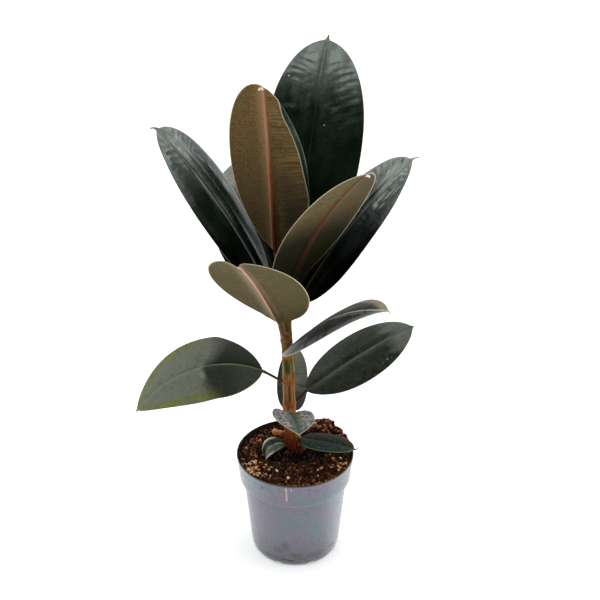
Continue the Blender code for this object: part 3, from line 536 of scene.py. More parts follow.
def blade_under(name, base, lift, red, rib, rib_side, edge, gap, rough=0.58, vein=0.45, seed=0.0, dark_base=(0.030, 0.024, 0.010),
                shade=0.0, shade_to=9.0, shade_from=0.5, shoulder_width=(0.34, 0.12), rib_width=(0.18, 0.085), dark_half=None, lit_shoulder_side=0.0, rib_low=None, rib_high=None, shear=0.0, glow=None, contrast=1.0, shaded_side=None, plain_foot=0.0, bands=None):
    """Matt underside with fine parallel veins, a coloured midrib and a thin pale margin."""
    k = Look(name, IOR=1.40)
    k.bsdf.inputs["Specular IOR Level"].default_value = 0.14
    s, t, e, sa = blade_values(k)
    flat = k.join(s, t, seed + 7.3)
    broad = k.noise(flat, 0.30, 3.0)
    slant = k.join(s, k.sub(t, k.mul(s, shear)), seed + 7.3)
    along = k.split(slant)[1]
    mottle = k.noise(flat, 2.0, 5.0, 0.62)
    grain = k.noise(k.stretch(slant, 1.0, 2.6, 1.0), 4.0, 5.0, 0.72)
    veins = side_veins(k, sa, along, gap, lean=0.16, wobble=0.05, seed=seed + 7.3)
    fineveins = side_veins(k, sa, along, gap * 0.43, lean=0.16, wobble=0.06, seed=seed + 3.3)
    strength = k.step(k.noise(flat, 0.7, 2.0), 0.40, 0.60, 0.35, 1.0)
    q = contrast
    colour = k.mix(k.step(broad, 0.34, 0.68), base, lift)
    colour = k.mix(k.mul(k.step(mottle, 0.47, 0.62), 0.55 * q), colour, red)
    dark = (base[0] * 0.42, base[1] * 0.50, base[2] * 0.52)
    speck = k.noise(flat, 5.0, 4.0, 0.7)
    patch = k.noise(flat, 1.3, 4.0, 0.6)
    colour = k.mix(k.mul(k.step(patch, 0.50, 0.60), 0.50 * q), colour, (base[0] * 0.72, base[1] * 1.12, base[2] * 1.10))
    colour = k.mix(k.mul(k.mul(veins, strength), vein), colour, dark)
    colour = k.mix(k.mul(fineveins, vein * 0.5), colour, dark)
    colour = k.mix(k.mul(k.step(grain, 0.50, 0.62), 0.55 * q), colour, dark)
    colour = k.mix(k.mul(k.step(grain, 0.48, 0.36), 0.55 * q), colour, tuple(c * 1.35 for c in lift))
    colour = k.mix(k.mul(k.step(speck, 0.54, 0.64), 0.60 * q), colour, (red[0] * 1.45, red[1] * 0.95, red[2] * 0.9))
    colour = k.mix(k.mul(k.step(speck, 0.46, 0.36), 0.50 * q), colour, (base[0] * 0.62, base[1] * 1.0, base[2] * 1.1))
    if bands:
        # (half, how many to the cm, amount): thin light and dark bands along the side veins
        half, dense, amount = bands
        lines = k.noise(k.join(k.mul(sa, 0.30), k.mul(along, dense), seed), 1.0, 3.0, 0.6)
        here = k.mul(k.step(k.mul(s, half), 0.05, 0.5), amount)
        colour = k.mix(k.mul(k.step(lines, 0.52, 0.62), here), colour, dark)
        colour = k.mix(k.mul(k.step(lines, 0.48, 0.38), here), colour, tuple(c * 1.3 for c in lift))
    if glow:
        # (half, width, amount, colour): the light that gathers beside the raised midrib
        sign, reach, amount, warm = glow
        lit = k.mul(k.step(sa, reach, 0.10), k.step(k.mul(s, sign), -0.02, 0.06))
        lit = k.mul(lit, k.step(grain, 0.40, 0.60, 1.0, 0.75))
        colour = k.mix(k.mul(lit, amount), colour, warm)
    if dark_half:
        # (sign of the half that turns from the light, amount)
        sign, amount = dark_half
        colour = k.mix(k.mul(k.step(k.mul(s, sign), 0.0, 1.6), amount), colour, tuple(c * 0.45 for c in base))
    if shade:
        colour = k.mix(k.mul(k.step(t, shade_to, shade_from), shade), colour, dark_base)
    if shaded_side:
        # painted shade on one half towards the stalk: (half, t where it begins, t where it is full, amount)
        half, d0, d1, amount = shaded_side
        colour = k.mix(k.mul(k.mul(k.step(t, d0, d1), k.step(k.mul(s, half), 0.3, 1.6)), amount), colour, dark_base)
    # midrib: the pale shoulder first, then the red core
    shoulder = k.step(t, 0.0, 17.0, *shoulder_width)
    near = k.step(k.math("DIVIDE", sa, shoulder), 1.20, 0.60)
    # the pale shoulder is the rib's own pale border; kept to the lit side of the ridge, it is also a painted highlight
    if lit_shoulder_side:
        near = k.mul(near, k.step(k.mul(s, lit_shoulder_side), -0.02, 0.05, 0.15, 1.0))
    if plain_foot:
        near = k.mul(near, k.step(t, plain_foot * 0.3, plain_foot, 0.1, 1.0))
    colour = k.mix(k.mul(near, 0.75), colour, rib_side)
    width = k.step(t, 0.0, 17.0, *rib_width)
    core = k.step(k.math("DIVIDE", sa, width), 1.20, 0.70)
    streak = k.noise(k.stretch(flat, 6.0, 0.6, 1.0), 2.0, 3.0)
    line = k.mix(k.step(streak, 0.35, 0.7), rib, tuple(c * 0.65 for c in rib))
    if rib_low:
        line = k.mix(k.step(t, 9.0, 1.5), line, rib_low)
    if rib_high:
        line = k.mix(k.step(t, 8.0, 14.0), line, rib_high)
    colour = k.mix(k.mul(core, 0.92), colour, line)
    rim = k.mul(k.step(k.add(e, k.mul(k.sub(mottle, 0.5), 0.03)), 0.105, 0.045), k.step(t, 0.3, 1.4))
    colour = k.mix(k.mul(rim, 0.9), colour, edge)
    height = k.add(k.mul(veins, 0.5), k.add(k.mul(fineveins, 0.25), k.mul(grain, 0.35)))
    normal = k.bump(height, 0.45, 0.0005)
    roughness = k.add(rough, k.mul(k.sub(mottle, 0.5), 0.15))
    return k.finish(colour, roughness, normal)


def stalk_look(name, skin, streak, seed=0.0, rough=0.42):
    k = Look(name, IOR=1.45)
    k.bsdf.inputs["Specular IOR Level"].default_value = 0.08
    s, t, e, sa = blade_values(k)
    v = k.join(s, t, seed)
    lines = k.noise(k.stretch(v, 5.0, 0.5, 1.0), 1.6, 4.0, 0.6)
    spots = k.noise(v, 5.0, 4.0, 0.6)
    colour = k.mix(k.step(lines, 0.35, 0.68), skin, streak)
    colour = k.mix(k.mul(k.step(spots, 0.58, 0.8), 0.5), colour, tuple(c * 0.4 for c in skin))
    normal = k.bump(k.add(k.mul(lines, 0.7), k.mul(spots, 0.3)), 0.5, 0.0006)
    return k.finish(colour, rough, normal)


# ================================================================ leaves
def stem_centre(z):
    return np.array([np.interp(z, STEM_Z, STEM_X), np.interp(z, STEM_Z, STEM_Y), z])


def stem_radius(z):
    return float(np.interp(z, STEM_RZ, STEM_R))


RIB_Q = np.array([0.0, 0.045, 0.09, 0.14, 0.20, 0.28, 0.38])
EDGE_Q = np.array([0.30, 0.18, 0.10, 0.055, 0.028, 0.010, 0.0])
BLADE_HALF = 0.034


def half_points(w, between):
    """Distances from the midrib at which one half is sampled, per station: (k, count)."""
    s = np.minimum(1.0, w / 1.15)[:, None]
    rib = RIB_Q[None] * s
    edge = w[:, None] - EDGE_Q[None] * s
    f = np.linspace(0, 1, between + 2)[1:-1][None]
    mid = rib[:, -1:] * (1 - f) + edge[:, :1] * f
    return np.hstack([rib, mid, edge])


def build_leaf(name, top, under, stalk):
    p = dict(zip(LEAF_KEYS, LEAVES[name]))
    q = SHAPE[name]
    L, W, rp = p["L"], p["W"], p["rp"]
    tip = q.get("tip", max(p["tip"], 0.15))
    seed = abs(hash_name(name)) % 1000

    def frames(t):
        az = (p["az"] + p["a1"] * t + p["a2"] * t * t) * RAD
        el = (p["e0"] + p["e1"] * t + p["e2"] * t * t) * RAD
        past = np.clip((t - 1.0) * L / tip, 0, 2)
        el = el + past * q.get("hook", 0) * RAD
        nod_from, nod = q.get("nod", (1.0, 0.0))
        el = el + nod * RAD * smooth((t - nod_from) / max(1.05 - nod_from, 0.1))
        az = az + past * q.get("bow", 0) * RAD
        ahead = np.stack([np.cos(el) * np.cos(az), np.cos(el) * np.sin(az), np.sin(el)], -1)
        side = np.stack([-np.sin(az), np.cos(az), np.zeros_like(az)], -1)
        up = np.cross(ahead, side)
        roll = ((p["ro"] + p["r1"] * t + p["r2"] * t * t) * RAD)[..., None]
        return ahead, np.cos(roll) * side + np.sin(roll) * up, np.cos(roll) * up - np.sin(roll) * side

    ts = np.linspace(0.0, 1.2, 1441)
    heads = frames(ts)[0]
    path = np.vstack([np.zeros(3), np.cumsum((heads[1:] + heads[:-1]) / 2 * ts[1] * L, axis=0)])
    on_axis = stem_centre(p["h"])
    pa, pe = p["paz"] * RAD, p["pe"] * RAD
    radial = np.array([math.cos(pa), math.sin(pa), 0.0])
    blade_base = on_axis + radial * 0.6 + (radial * math.cos(pe) + np.array([0, 0, math.sin(pe)]) + heads[0]) / 2 * p["lp"]
    path = path + blade_base
    drop0, drop1 = q.get("drop", (0.0, 0.0))
    blade_base = blade_base + np.array([0, 0, drop0])
    path[:, 2] += drop0 + (drop1 - drop0) * smooth(ts)
    start = on_axis + radial * (stem_radius(p["h"]) + 0.03)
    fat_base = q.get("stalk", (1.0, 1.0))[1]

    # which half each point of a ring lies on, counted from the -1 margin over the top and back below
    between = 26 if "roll" in q else (9 if L > 10 else 6)
    H = len(RIB_Q) + len(EDGE_Q) + between - 1
    order = [(-1, i, 1) for i in range(H, 0, -1)] + [(1, 0, 1)] + [(1, i, 1) for i in range(1, H + 1)]
    order += [(1, i, -1) for i in range(H - 1, 0, -1)] + [(1, 0, -1)] + [(-1, i, -1) for i in range(1, H)]
    sd = np.array([o[0] for o in order], float)
    qi = np.array([o[1] for o in order])
    fc = np.array([0 if o[1] == H else o[2] for o in order], float)
    M = len(order)
    ang = np.concatenate([math.pi - math.pi * np.arange(2 * H) / (2 * H), -math.pi * np.arange(2 * H) / (2 * H)])

    # stalk rings
    ns = 30
    span = float(np.linalg.norm(blade_base - start))
    rise = min(p["pe"], 35.0) * RAD
    m0 = (radial * math.cos(rise) + np.array([0, 0, math.sin(rise)])) * span
    m1 = heads[0] * span
    side0 = frames(np.array([0.0]))[1][0]
    across = np.cross([0, 0, 1.0], radial)
    stalk_pts, stalk_attr = [], []
    centres = []
    for i in range(ns):
        s = i / ns
        centres.append((2 * s ** 3 - 3 * s ** 2 + 1) * start + (s ** 3 - 2 * s ** 2 + s) * m0 + (3 * s ** 2 - 2 * s ** 3) * blade_base + (s ** 3 - s ** 2) * m1)
    lengths = np.concatenate([[0], np.cumsum(np.linalg.norm(np.diff(np.array(centres + [blade_base]), axis=0), axis=1))])
    for i in range(-3, ns):
        s = max(i, 0) / ns
        d = (6 * s * s - 6 * s) * start + (3 * s * s - 4 * s + 1) * m0 + (6 * s - 6 * s * s) * blade_base + (3 * s * s - 2 * s) * m1
        d = d / np.linalg.norm(d)
        w = float(smooth(s / 0.5))
        d = radial * (1 - w) + d * w
        d = d / np.linalg.norm(d)
        c = centres[max(i, 0)] + (radial * (i * 0.11) if i < 0 else 0)
        sv = side0 * s + across * (1 - s)
        sv = sv - d * sv.dot(d)
        sv = sv / np.linalg.norm(sv)
        uv = np.cross(d, sv)
        swell = 0.42 * math.exp(-(max(i, 0) / ns * span / 0.22) ** 2) + 0.22 * math.exp(-((s - 1) * span / 0.5) ** 2)
        fat0, fat1 = q.get("stalk", (1.0, 1.0))
        r = rp * (0.95 + swell) * (fat0 + (fat1 - fat0) * s)
        groove = 1.0 - 0.22 * np.exp(-((ang - math.pi / 2) / 0.45) ** 2) * float(smooth((s - 0.15) / 0.4))
        r = r * groove * (1 + 0.03 * noise3(ang * 1.5, lengths[max(i, 0)] * 1.5, seed))
        stalk_pts.append(c + r[:, None] * (np.cos(ang)[:, None] * sv + np.sin(ang)[:, None] * uv))
        along = lengths[max(i, 0)] - lengths[-1]
        stalk_attr.append(np.stack([rp * np.cos(ang) * 1.0, np.full(M, along), np.full(M, 1.0)], -1))

    # blade stations
    n = q["n"]
    base = 0.5 - 0.5 * np.cos(math.pi * (np.arange(n) + 0.35) / (n - 0.3))
    even = (np.arange(n) + 0.35) / (n - 0.3)
    t = 0.55 * base + 0.45 * even
    t = t[t < 0.9985]
    tips = 12
    t = np.concatenate([t, 1.0 + (np.arange(tips) + 0.0) / (tips - 1) * tip / L])
    k = len(t)
    ahead, side, up = frames(t)
    centre = np.stack([np.interp(t, ts, path[:, a]) for a in range(3)], -1)
    beta = smooth(t / 0.05)
    rib = rp * (1 - 0.75 * np.minimum(t, 1.0)) * np.where(t < 1, 1.0, 0.4)
    tk = np.clip(t, 1e-9, 1.0)
    outline = np.where(t < 1, np.clip(1.0 - np.abs(2.0 * tk ** p["k"] - 1.0) ** p["n"], 0, 1) ** p["m"], 0.0)
    x_tip = np.clip((t - 1) * L / tip, 0, 1)
    cusp = min(0.27, 0.11 * W)
    point = np.where(t >= 1, cusp * (1 - x_tip) ** 1.7 + 0.016, np.where(t > 0.9, cusp + (1 - t) * L * 0.3, 0.0))
    if "notch" in q:
        point = point * 0.4

    total = {}
    roll_q0, roll_turn = None, None
    for sgn in (-1, 1):
        w = W * (1 + sgn * p["wa"]) * outline
        w = (w ** 4 + (rp * fat_base * (1 - beta * 0.6)) ** 4 + point ** 4) ** 0.25
        total[sgn] = w
    width = dict(total)
    if "roll" in q:
        rs, lo, hi, rr, turn, flat_end = q["roll"]
        g = smooth((t - lo) / 0.46) * smooth((hi - t) / 0.13) * smooth((1.0 - t) / 0.06)
        arc_len = g * (rr * turn * RAD + flat_end)
        roll_r = np.minimum(rr * (0.55 + 0.45 * g), 0.25 * width[rs])
        roll_turn = np.minimum(turn * RAD, arc_len / roll_r)
        roll_q0 = width[rs] - roll_r * np.sin(np.minimum(roll_turn, math.pi / 2))
        total[rs] = roll_q0 + arc_len

    pts = {}
    for sgn in (-1, 1):
        w = total[sgn]
        dist = half_points(w, between)                                     # (k, H+1)
        grid = np.linspace(0, 1, 160)[None] * w[:, None]                   # fine arc for the bend
        vee, until = q.get("vee", (0.0, 1.0))
        fold = (p["fold"] + sgn * p["df"] + vee * (1 - smooth(t / until))[:, None]) * (1 - np.exp(-grid / 0.35))
        lift = q.get("shoulder", 0) * np.exp(-((grid - 0.34) / 0.24) ** 2) * smooth((1.0 - t) / 0.12)[:, None]
        lift = lift - 0.5 * q.get("shoulder", 0) * np.exp(-((grid - 0.95) / 0.40) ** 2) * smooth((1.0 - t) / 0.12)[:, None]
        if "rise" in q and sgn == q["rise"][0]:
            fold = fold + q["rise"][1] * smooth((t - q["rise"][2]) / 0.25)[:, None] * (1 - np.exp(-grid / 0.35))
        bend = (fold + lift - p["curl"] * np.minimum(grid, width[sgn][:, None]) / W) * RAD * beta[:, None]
        if "droop" in q and sgn == q["droop"][0]:
            bend = bend - q["droop"][2] * RAD * smooth((grid / w[:, None] - q["droop"][1]) / 0.4) * smooth((1.02 - t) / 0.3)[:, None]
        if "roll" in q and sgn == q["roll"][0]:
            past = np.clip(grid - roll_q0[:, None], 0, None) / roll_r[:, None]
            bend = bend - np.minimum(past, roll_turn[:, None])
        dq = grid[:, 1:] - grid[:, :-1]
        mid = (bend[:, 1:] + bend[:, :-1]) / 2
        yy = np.hstack([np.zeros((k, 1)), np.cumsum(np.cos(mid) * dq, 1)])
        zz = np.hstack([np.zeros((k, 1)), np.cumsum(np.sin(mid) * dq, 1)])
        pts[sgn] = (dist, grid, yy, zz, bend)

    rings = np.zeros((k, M, 3))
    attr = np.zeros((k, M, 3))
    ripple_amp = q["ripple"][0] + (q["ripple"][1] - q["ripple"][0]) * smooth((t - 0.40) / 0.50)
    for i in range(k):
        dist_of = np.where(sd > 0, pts[1][0][i][qi], pts[-1][0][i][qi])
        w_of = np.where(sd > 0, total[1][i], total[-1][i])
        b = beta[i]
        ub = (1 - b) * np.cos(ang) + b * sd * dist_of / w_of
        sg = np.where(ub >= 0, 1.0, -1.0)
        w_sg = np.where(sg > 0, total[1][i], total[-1][i])
        reach = np.abs(ub) * w_sg
        y = np.where(sg > 0, np.interp(reach, pts[1][1][i], pts[1][2][i]), np.interp(reach, pts[-1][1][i], pts[-1][2][i]))
        z = np.where(sg > 0, np.interp(reach, pts[1][1][i], pts[1][3][i]), np.interp(reach, pts[-1][1][i], pts[-1][3][i]))
        bd = np.where(sg > 0, np.interp(reach, pts[1][1][i], pts[1][4][i]), np.interp(reach, pts[-1][1][i], pts[-1][4][i]))
        lu = np.cos(bd)[:, None] * up[i] - (sg * np.sin(bd))[:, None] * side[i]
        left = w_sg - reach                                                # distance from the margin
        rho = min(0.05, 0.5 * float(w_sg.min()))
        h = np.sqrt(np.clip(1 - (1 - np.clip(left / rho, 0, 1)) ** 2, 0, 1))
        thick = BLADE_HALF * (1.0 + 0.35 * math.exp(-(float(t[i]) * L / 2.0))) if t[i] < 1 else BLADE_HALF * (1 - 0.55 * x_tip[i])
        half = thick * h
        groove = -0.040 * np.exp(-(reach / 0.15) ** 2) + 0.022 * np.exp(-(reach / 0.05) ** 2)
        ridge = 1.3 * rib[i] * np.exp(-(reach / (1.3 * rib[i] + 0.05)) ** 2)
        flat = np.where(fc > 0, half + groove * min(1.0, float(w_sg.min())), np.where(fc < 0, -(half + ridge), 0.0))
        off = (1 - b) * rp * fat_base * np.sin(ang) * (1 - 0.22 * np.exp(-((ang - math.pi / 2) / 0.45) ** 2)) + b * flat
        # waves over the side veins, slow undulation, puckers and crease: both faces together
        tc = t[i] * L
        env = smooth((reach - 0.15) / 0.9) * smooth(left / 0.8) * b
        warp = 0.35 * noise3(reach * 0.5, tc * 0.35, sg * 3.1 + 0.5, seed + 3)
        phase = (tc - q.get("lean", 0.30) * reach) / q["gap"] + q.get("wander", 1.6) * warp + 0.25 * (sg > 0)
        unit = 0.5 + 0.5 * noise3(reach * 0.6, tc * 0.5, sg * 2.0, seed + 5)
        disp = ripple_amp[i] * np.cos(2 * math.pi * phase) * env * (0.45 + 0.75 * unit)
        disp = disp + q["wave"] * noise3(sg * reach * 0.42, tc * 0.30, 0.5, seed + 9) * b * smooth((1.02 - t[i]) / 0.12) * (0.35 + 0.65 * smooth(reach / 1.2))
        if q.get("crumple"):
            c_env = smooth((t[i] - 0.45) / 0.35) * env
            disp = disp + q["crumple"] * c_env * (fbm(sg * reach * 0.95, tc * 0.75 - reach * 0.2, 0.3, seed + 21, 3) * 0.8)
        if q.get("crease"):
            t0, amp, slant = q["crease"]
            along = (t[i] - t0) * L + slant * reach * (sg < 0)
            disp = disp + amp * np.exp(-(np.sqrt(along ** 2 + 0.09) - 0.3) / 1.3) * smooth(reach / 0.6 + 0.3) * b
        place = centre[i] + (sg * y)[:, None] * side[i] + z[:, None] * up[i] + (off + disp)[:, None] * lu
        if q.get("notch"):
            aside = np.abs(sg * reach - q.get("notch_at", 0.0))
            dent = q["notch"] * np.exp(-(aside / (0.34 if q["notch"] > 0.3 else 0.20)) ** 1.3) * float(smooth((t[i] - 0.76) / 0.24))
            place = place - dent[:, None] * ahead[i]
        rings[i] = place
        attr[i] = np.stack([sg * reach, np.full(M, tc), left if t[i] < 1 else left * 0.5], -1)

    all_rings = np.concatenate([np.array(stalk_pts), rings])
    all_attr = np.concatenate([np.array(stalk_attr), attr])
    K = len(all_rings)
    quads = ring_quads(K, M)
    cols = np.tile(np.arange(M), K - 1)
    rows = np.repeat(np.arange(K - 1), M)
    index = np.where(rows < len(stalk_pts) - 1, 2, np.where(cols < 2 * H, 0, 1))
    verts = all_rings.reshape(-1, 3)
    attributes = all_attr.reshape(-1, 3)
    first, last = len(verts), len(verts) + 1
    verts = np.vstack([verts, all_rings[0].mean(0), all_rings[-1].mean(0)])
    attributes = np.vstack([attributes, all_attr[0].mean(0), all_attr[-1].mean(0)])
    faces = [tuple(f) for f in quads.tolist()]
    faces += [(first, (j + 1) % M, j) for j in range(M)]
    faces += [(last, (K - 1) * M + j, (K - 1) * M + (j + 1) % M) for j in range(M)]
    index = np.concatenate([index, np.full(M, 2), np.full(M, 0)])

    # the way out: the shell's volume tells which way the rings turn
    tri = verts[np.array([f[:3] for f in faces[:len(quads)]])]
    vol = float(np.einsum("ij,ij->i", tri[:, 0], np.cross(tri[:, 1], tri[:, 2])).sum())
    tri2 = verts[np.array([(f[0], f[2], f[3]) for f in faces[:len(quads)]])]
    vol += float(np.einsum("ij,ij->i", tri2[:, 0], np.cross(tri2[:, 1], tri2[:, 2])).sum())
    if vol < 0:
        faces = [tuple(reversed(f)) for f in faces]

    # a pale tip folded over onto the underside
    if q.get("flip"):
        length, lean = q["flip"]
        e_i = int(np.searchsorted(t, 1.0)) - 1
        c0 = centre[e_i] - ahead[e_i] * (q.get("notch", 0) + 0.02) - up[e_i] * 0.06
        steps = np.linspace(0, 1, 16)
        heading = lean * (1 - 0.35 * steps)[:, None] * side[e_i] - (0.25 + 0.9 * smooth(steps / 0.8))[:, None] * ahead[e_i] - 0.25 * (1 - steps)[:, None] * up[e_i]
        heading /= np.linalg.norm(heading, axis=1)[:, None]
        curve = c0 + np.vstack([np.zeros(3), np.cumsum(heading[:-1] * (length / 15), axis=0)])
        radii = 0.135 * (1 - steps ** 1.6) + 0.014
        tv, tf = tube(curve, radii, 10, 0.6, up[e_i])
        o = len(verts)
        verts = np.vstack([verts, tv])
        attributes = np.vstack([attributes, np.tile([0.6, L * 0.98, 0.0], (len(tv), 1))])
        faces += [tuple(i + o for i in f) for f in tf]
        index = np.concatenate([index, np.full(len(tf), 3)])

    return new_piece(name + "_blade", verts, faces, [top, under, stalk] + ([claw_look()] if q.get("flip") else []), index, {"leaf": attributes}, replaces=name)


def claw_look():
    if "pale_claw" in bpy.data.materials:
        return bpy.data.materials["pale_claw"]
    k = Look("pale_claw", Roughness=0.5)
    v = k.coordinates()
    n = k.noise(k.stretch(v, 3.0, 3.0, 1.0), 2.5, 3.0)
    colour = k.mix(k.step(n, 0.35, 0.7), (0.80, 0.76, 0.62), (0.62, 0.52, 0.34))
    return k.finish(colour, 0.5, k.bump(n, 0.4, 0.0004))


def hash_name(name):
    h = 7
    for c in name:
        h = (h * 31 + ord(c)) % 100003
    return h


# colours, linear
OLIVE = (0.114, 0.069, 0.017)
OLIVE_LIFT = (0.155, 0.102, 0.034)
OLIVE_RED = (0.118, 0.046, 0.016)
CREAM = (0.60, 0.52, 0.30)
RED_RIB = (0.30, 0.050, 0.028)
PALE_RIB = (0.34, 0.185, 0.095)

crown_top = dict(deep=(0.0012, 0.0034, 0.0016), light=(0.0052, 0.0125, 0.0068), rib=(0.030, 0.010, 0.008), rib_pale=(0.09, 0.04, 0.02),
                 edge=(0.05, 0.065, 0.045), rough=0.19, gap=0.42, vein=0.10, bump=0.55, dull=(9.0, 4.0, 0.45), shaded_foot=(11.0, 4.0, 0.9, (0.0008, 0.0020, 0.0009)), tint=(0.86, 1.0, 0.88))
low_top = dict(deep=(0.014, 0.024, 0.015), light=(0.030, 0.044, 0.031), rib=(0.10, 0.135, 0.075), rib_pale=(0.16, 0.19, 0.10),
               edge=(0.10, 0.11, 0.07), rough=0.46, gap=0.40, vein=0.14, dust=(0.125, 0.130, 0.115), dust_amount=0.30)


def looks_for(name):
    seed = (hash_name(name) % 97) * 1.37
    if name in ("leaf_crown_front", "leaf_crown_right_front", "leaf_crown_low_front"):
        # the top of the rolled margin of leaf_crown_front: its light teal stands in for the highlight on the roll, and
        # the dark band next to the margin is painted shade in the crease
        rolled = dict(deep=(0.008, 0.024, 0.013), light=(0.040, 0.080, 0.053), edge=(0.56, 0.50, 0.32), rim_width=0.12, shaded_foot=None,
                      halves=((0.006, 0.014, 0.006), 0.90, (0.006, 0.014, 0.006), 0.0), halves_reach=(0.44, 0.26), gloss=0.22, tint=(0.90, 1.0, 0.88)) if name == "leaf_crown_front" else {}
        top = blade_top(name + "_top", **{**crown_top, "seed": seed, "rough": 0.30, **rolled})
        if name == "leaf_crown_front":
            under = blade_under(name + "_under", OLIVE, OLIVE_LIFT, OLIVE_RED, (0.30, 0.060, 0.032), (0.36, 0.20, 0.105), CREAM, 0.36, vein=0.62, seed=seed, shade=0.50, shade_to=14.5, bands=(1, 4.2, 0.60),
                                shoulder_width=(0.40, 0.36), rib_width=(0.22, 0.09), lit_shoulder_side=-1.0, rib_low=(0.085, 0.010, 0.005), rib_high=(0.36, 0.150, 0.085),
                                shear=0.58, glow=(-1.0, 1.5, 0.85, (0.285, 0.172, 0.076)), shaded_side=(1.0, 12.0, 4.0, 0.88), contrast=1.55)
        elif name == "leaf_crown_right_front":
            under = blade_under(name + "_under", (0.120, 0.086, 0.032), (0.165, 0.125, 0.055), (0.140, 0.062, 0.028), (0.16, 0.032, 0.018), (0.10, 0.052, 0.024), (0.70, 0.62, 0.40), 0.30, seed=seed,
                                shade=0.97, shade_to=12.2, shade_from=6.2, rib_width=(0.17, 0.10), dark_half=(1, 0.55), vein=0.85, contrast=1.35, rib_low=(0.045, 0.010, 0.006), dark_base=(0.016, 0.016, 0.006))
        else:
            under = blade_under(name + "_under", (0.072, 0.066, 0.019), (0.112, 0.100, 0.037), (0.136, 0.066, 0.031), (0.28, 0.058, 0.034), (0.70, 0.50, 0.36), (0.58, 0.54, 0.33), 0.28, vein=0.30, seed=seed,
                                shoulder_width=(0.46, 0.34), rib_width=(0.185, 0.075), rib_low=(0.110, 0.034, 0.014), rib_high=(0.40, 0.175, 0.115), lit_shoulder_side=-1.0,
                                glow=(-1.0, 1.5, 0.9, (0.36, 0.262, 0.165)), contrast=1.5, plain_foot=2.2)
        stalk = stalk_look(name + "_stalk", (0.135, 0.085, 0.030), (0.25, 0.095, 0.030), seed)
    elif name.startswith("leaf_crown"):
        extra = {}
        if name == "leaf_crown_back":
            extra = dict(marks=((3.0, 17.4, 0.10), (-1.10, 13.2, 0.08)), rough=0.24, painted_sheen=(14.0, 19.0, 0.50, (0.15, 0.170, 0.150)), shaded_foot=(11.5, 6.5, 0.85, (0.0008, 0.0022, 0.0010)))
        elif name == "leaf_crown_left":
            # the pale grey midrib of this leaf is a painted highlight along its raised ridge
            extra = dict(rib=(0.075, 0.072, 0.065), rib_pale=(0.05, 0.045, 0.040), rough=0.20, painted_sheen=(10.5, 16.5, 0.36, (0.165, 0.18, 0.165)),
                         painted_glints=((-0.30, 16.5, 0.40, 2.8, 0.75), (0.50, 11.6, 0.55, 3.2, 0.30), (0.36, 7.2, 0.30, 3.8, 0.20), (-2.6, 10.8, 0.7, 2.4, 0.18), (-2.4, 7.4, 0.6, 2.6, 0.14),
                                 (-1.0, 16.3, 0.7, 1.7, 0.30),
                                 (-1.9, 14.3, 0.22, 0.9, 0.40), (-2.25, 12.9, 0.18, 1.0, 0.36), (-1.6, 15.2, 0.18, 0.7, 0.40), (-2.5, 10.5, 0.55, 2.5, 0.35)))
        elif name == "leaf_crown_right":
            extra = dict(rib=(0.040, 0.034, 0.030), rough=0.19, painted_sheen=(12.0, 15.5, 0.40, (0.17, 0.190, 0.17)), shaded_foot=(11.5, 8.0, 0.9, (0.0006, 0.0016, 0.0008)), dull=(13.5, 9.5, 0.12), shaded_side=(-1.0, 15.6, 12.0, 0.65),
                         painted_glints=((0.4, 15.4, 0.9, 1.7, 0.45), (-0.15, 13.8, 0.35, 1.5, 0.55), (-0.75, 14.3, 0.17, 1.9, 0.50), (-1.20, 13.1, 0.20, 1.5, 0.46),
                                 (-1.75, 13.9, 0.16, 1.2, 0.42), (-1.45, 12.1, 0.34, 0.55, 0.50), (-2.15, 14.6, 0.12, 1.2, 0.45), (-2.1, 12.7, 0.22, 0.6, 0.35)))
        elif name == "leaf_crown_back_left":
            extra = dict(painted_sheen=(LEAVES[name][5] - 5.8, LEAVES[name][5] - 3.6, 0.9, (0.26, 0.27, 0.245)), gloss=0.14)
        top = blade_top(name + "_top", **{**crown_top, "seed": seed, **extra})
        under = blade_under(name + "_under", OLIVE, OLIVE_LIFT, OLIVE_RED, RED_RIB, PALE_RIB, CREAM, 0.30, seed=seed)
        stalk = stalk_look(name + "_stalk", (0.10, 0.055, 0.025), (0.16, 0.05, 0.025), seed)
    else:
        extra = {}
        if name == "leaf_low_left":
            # the heavy pale dust film on the outer part is dust and partly a painted sheen; the darker part near the
            # stalk is painted shade
            extra = dict(deep=(0.006, 0.010, 0.005), light=(0.020, 0.028, 0.015), tint=(0.85, 1.0, 0.88), patch=((0.165, 0.160, 0.022), 4.6, 8.0, 0.85), blotch=(0.55, (0.175, 0.140, 0.125), (0.070, 0.112, 0.070)),
                         painted_glints=((-0.05, 6.55, 0.45, 0.50, 0.24), (0.9, 6.7, 1.3, 0.45, 0.13)), dust=(0.170, 0.188, 0.145), dust_amount=0.86, dust_scale=2.6, dust_cover=(0.02, 0.46),
                         edge=(0.10, 0.11, 0.035), rim_width=0.10, shaded_base=(6.45, 0.94), shaded_foot=(5.6, 3.2, 0.5, (0.006, 0.010, 0.005)), rib=(0.20, 0.24, 0.14), rib_pale=(0.10, 0.11, 0.05), gloss=0.24, bump=0.9, dark_veins=0.0)
        elif name == "leaf_low_right":
            # the paler margin of the positive half is a painted highlight, and the darker margin of the negative half
            # is painted shade
            extra = dict(deep=(0.005, 0.010, 0.005), light=(0.020, 0.030, 0.017), tint=(0.88, 1.0, 0.90), dust_amount=0.26, dust_scale=2.2, rib=(0.085, 0.120, 0.075), rib_width=(0.16, 0.10), rib_pale=(0.05, 0.055, 0.035),
                         marks=((-2.20, 8.6, 0.085), (-2.25, 9.1, 0.04), (-2.35, 8.0, 0.04), (-1.9, 10.2, 0.035), (-2.0, 9.6, 0.03)), edge=(0.05, 0.055, 0.035),
                         halves=((0.034, 0.036, 0.026), 0.65, (0.007, 0.011, 0.008), 0.7), gloss=0.20, blotch=(0.45, (0.060, 0.046, 0.036), (0.016, 0.030, 0.016)), painted_sheen=(8.6, 11.2, 0.75, (0.175, 0.195, 0.170)), bump=0.9)
        elif name == "leaf_middle_right":
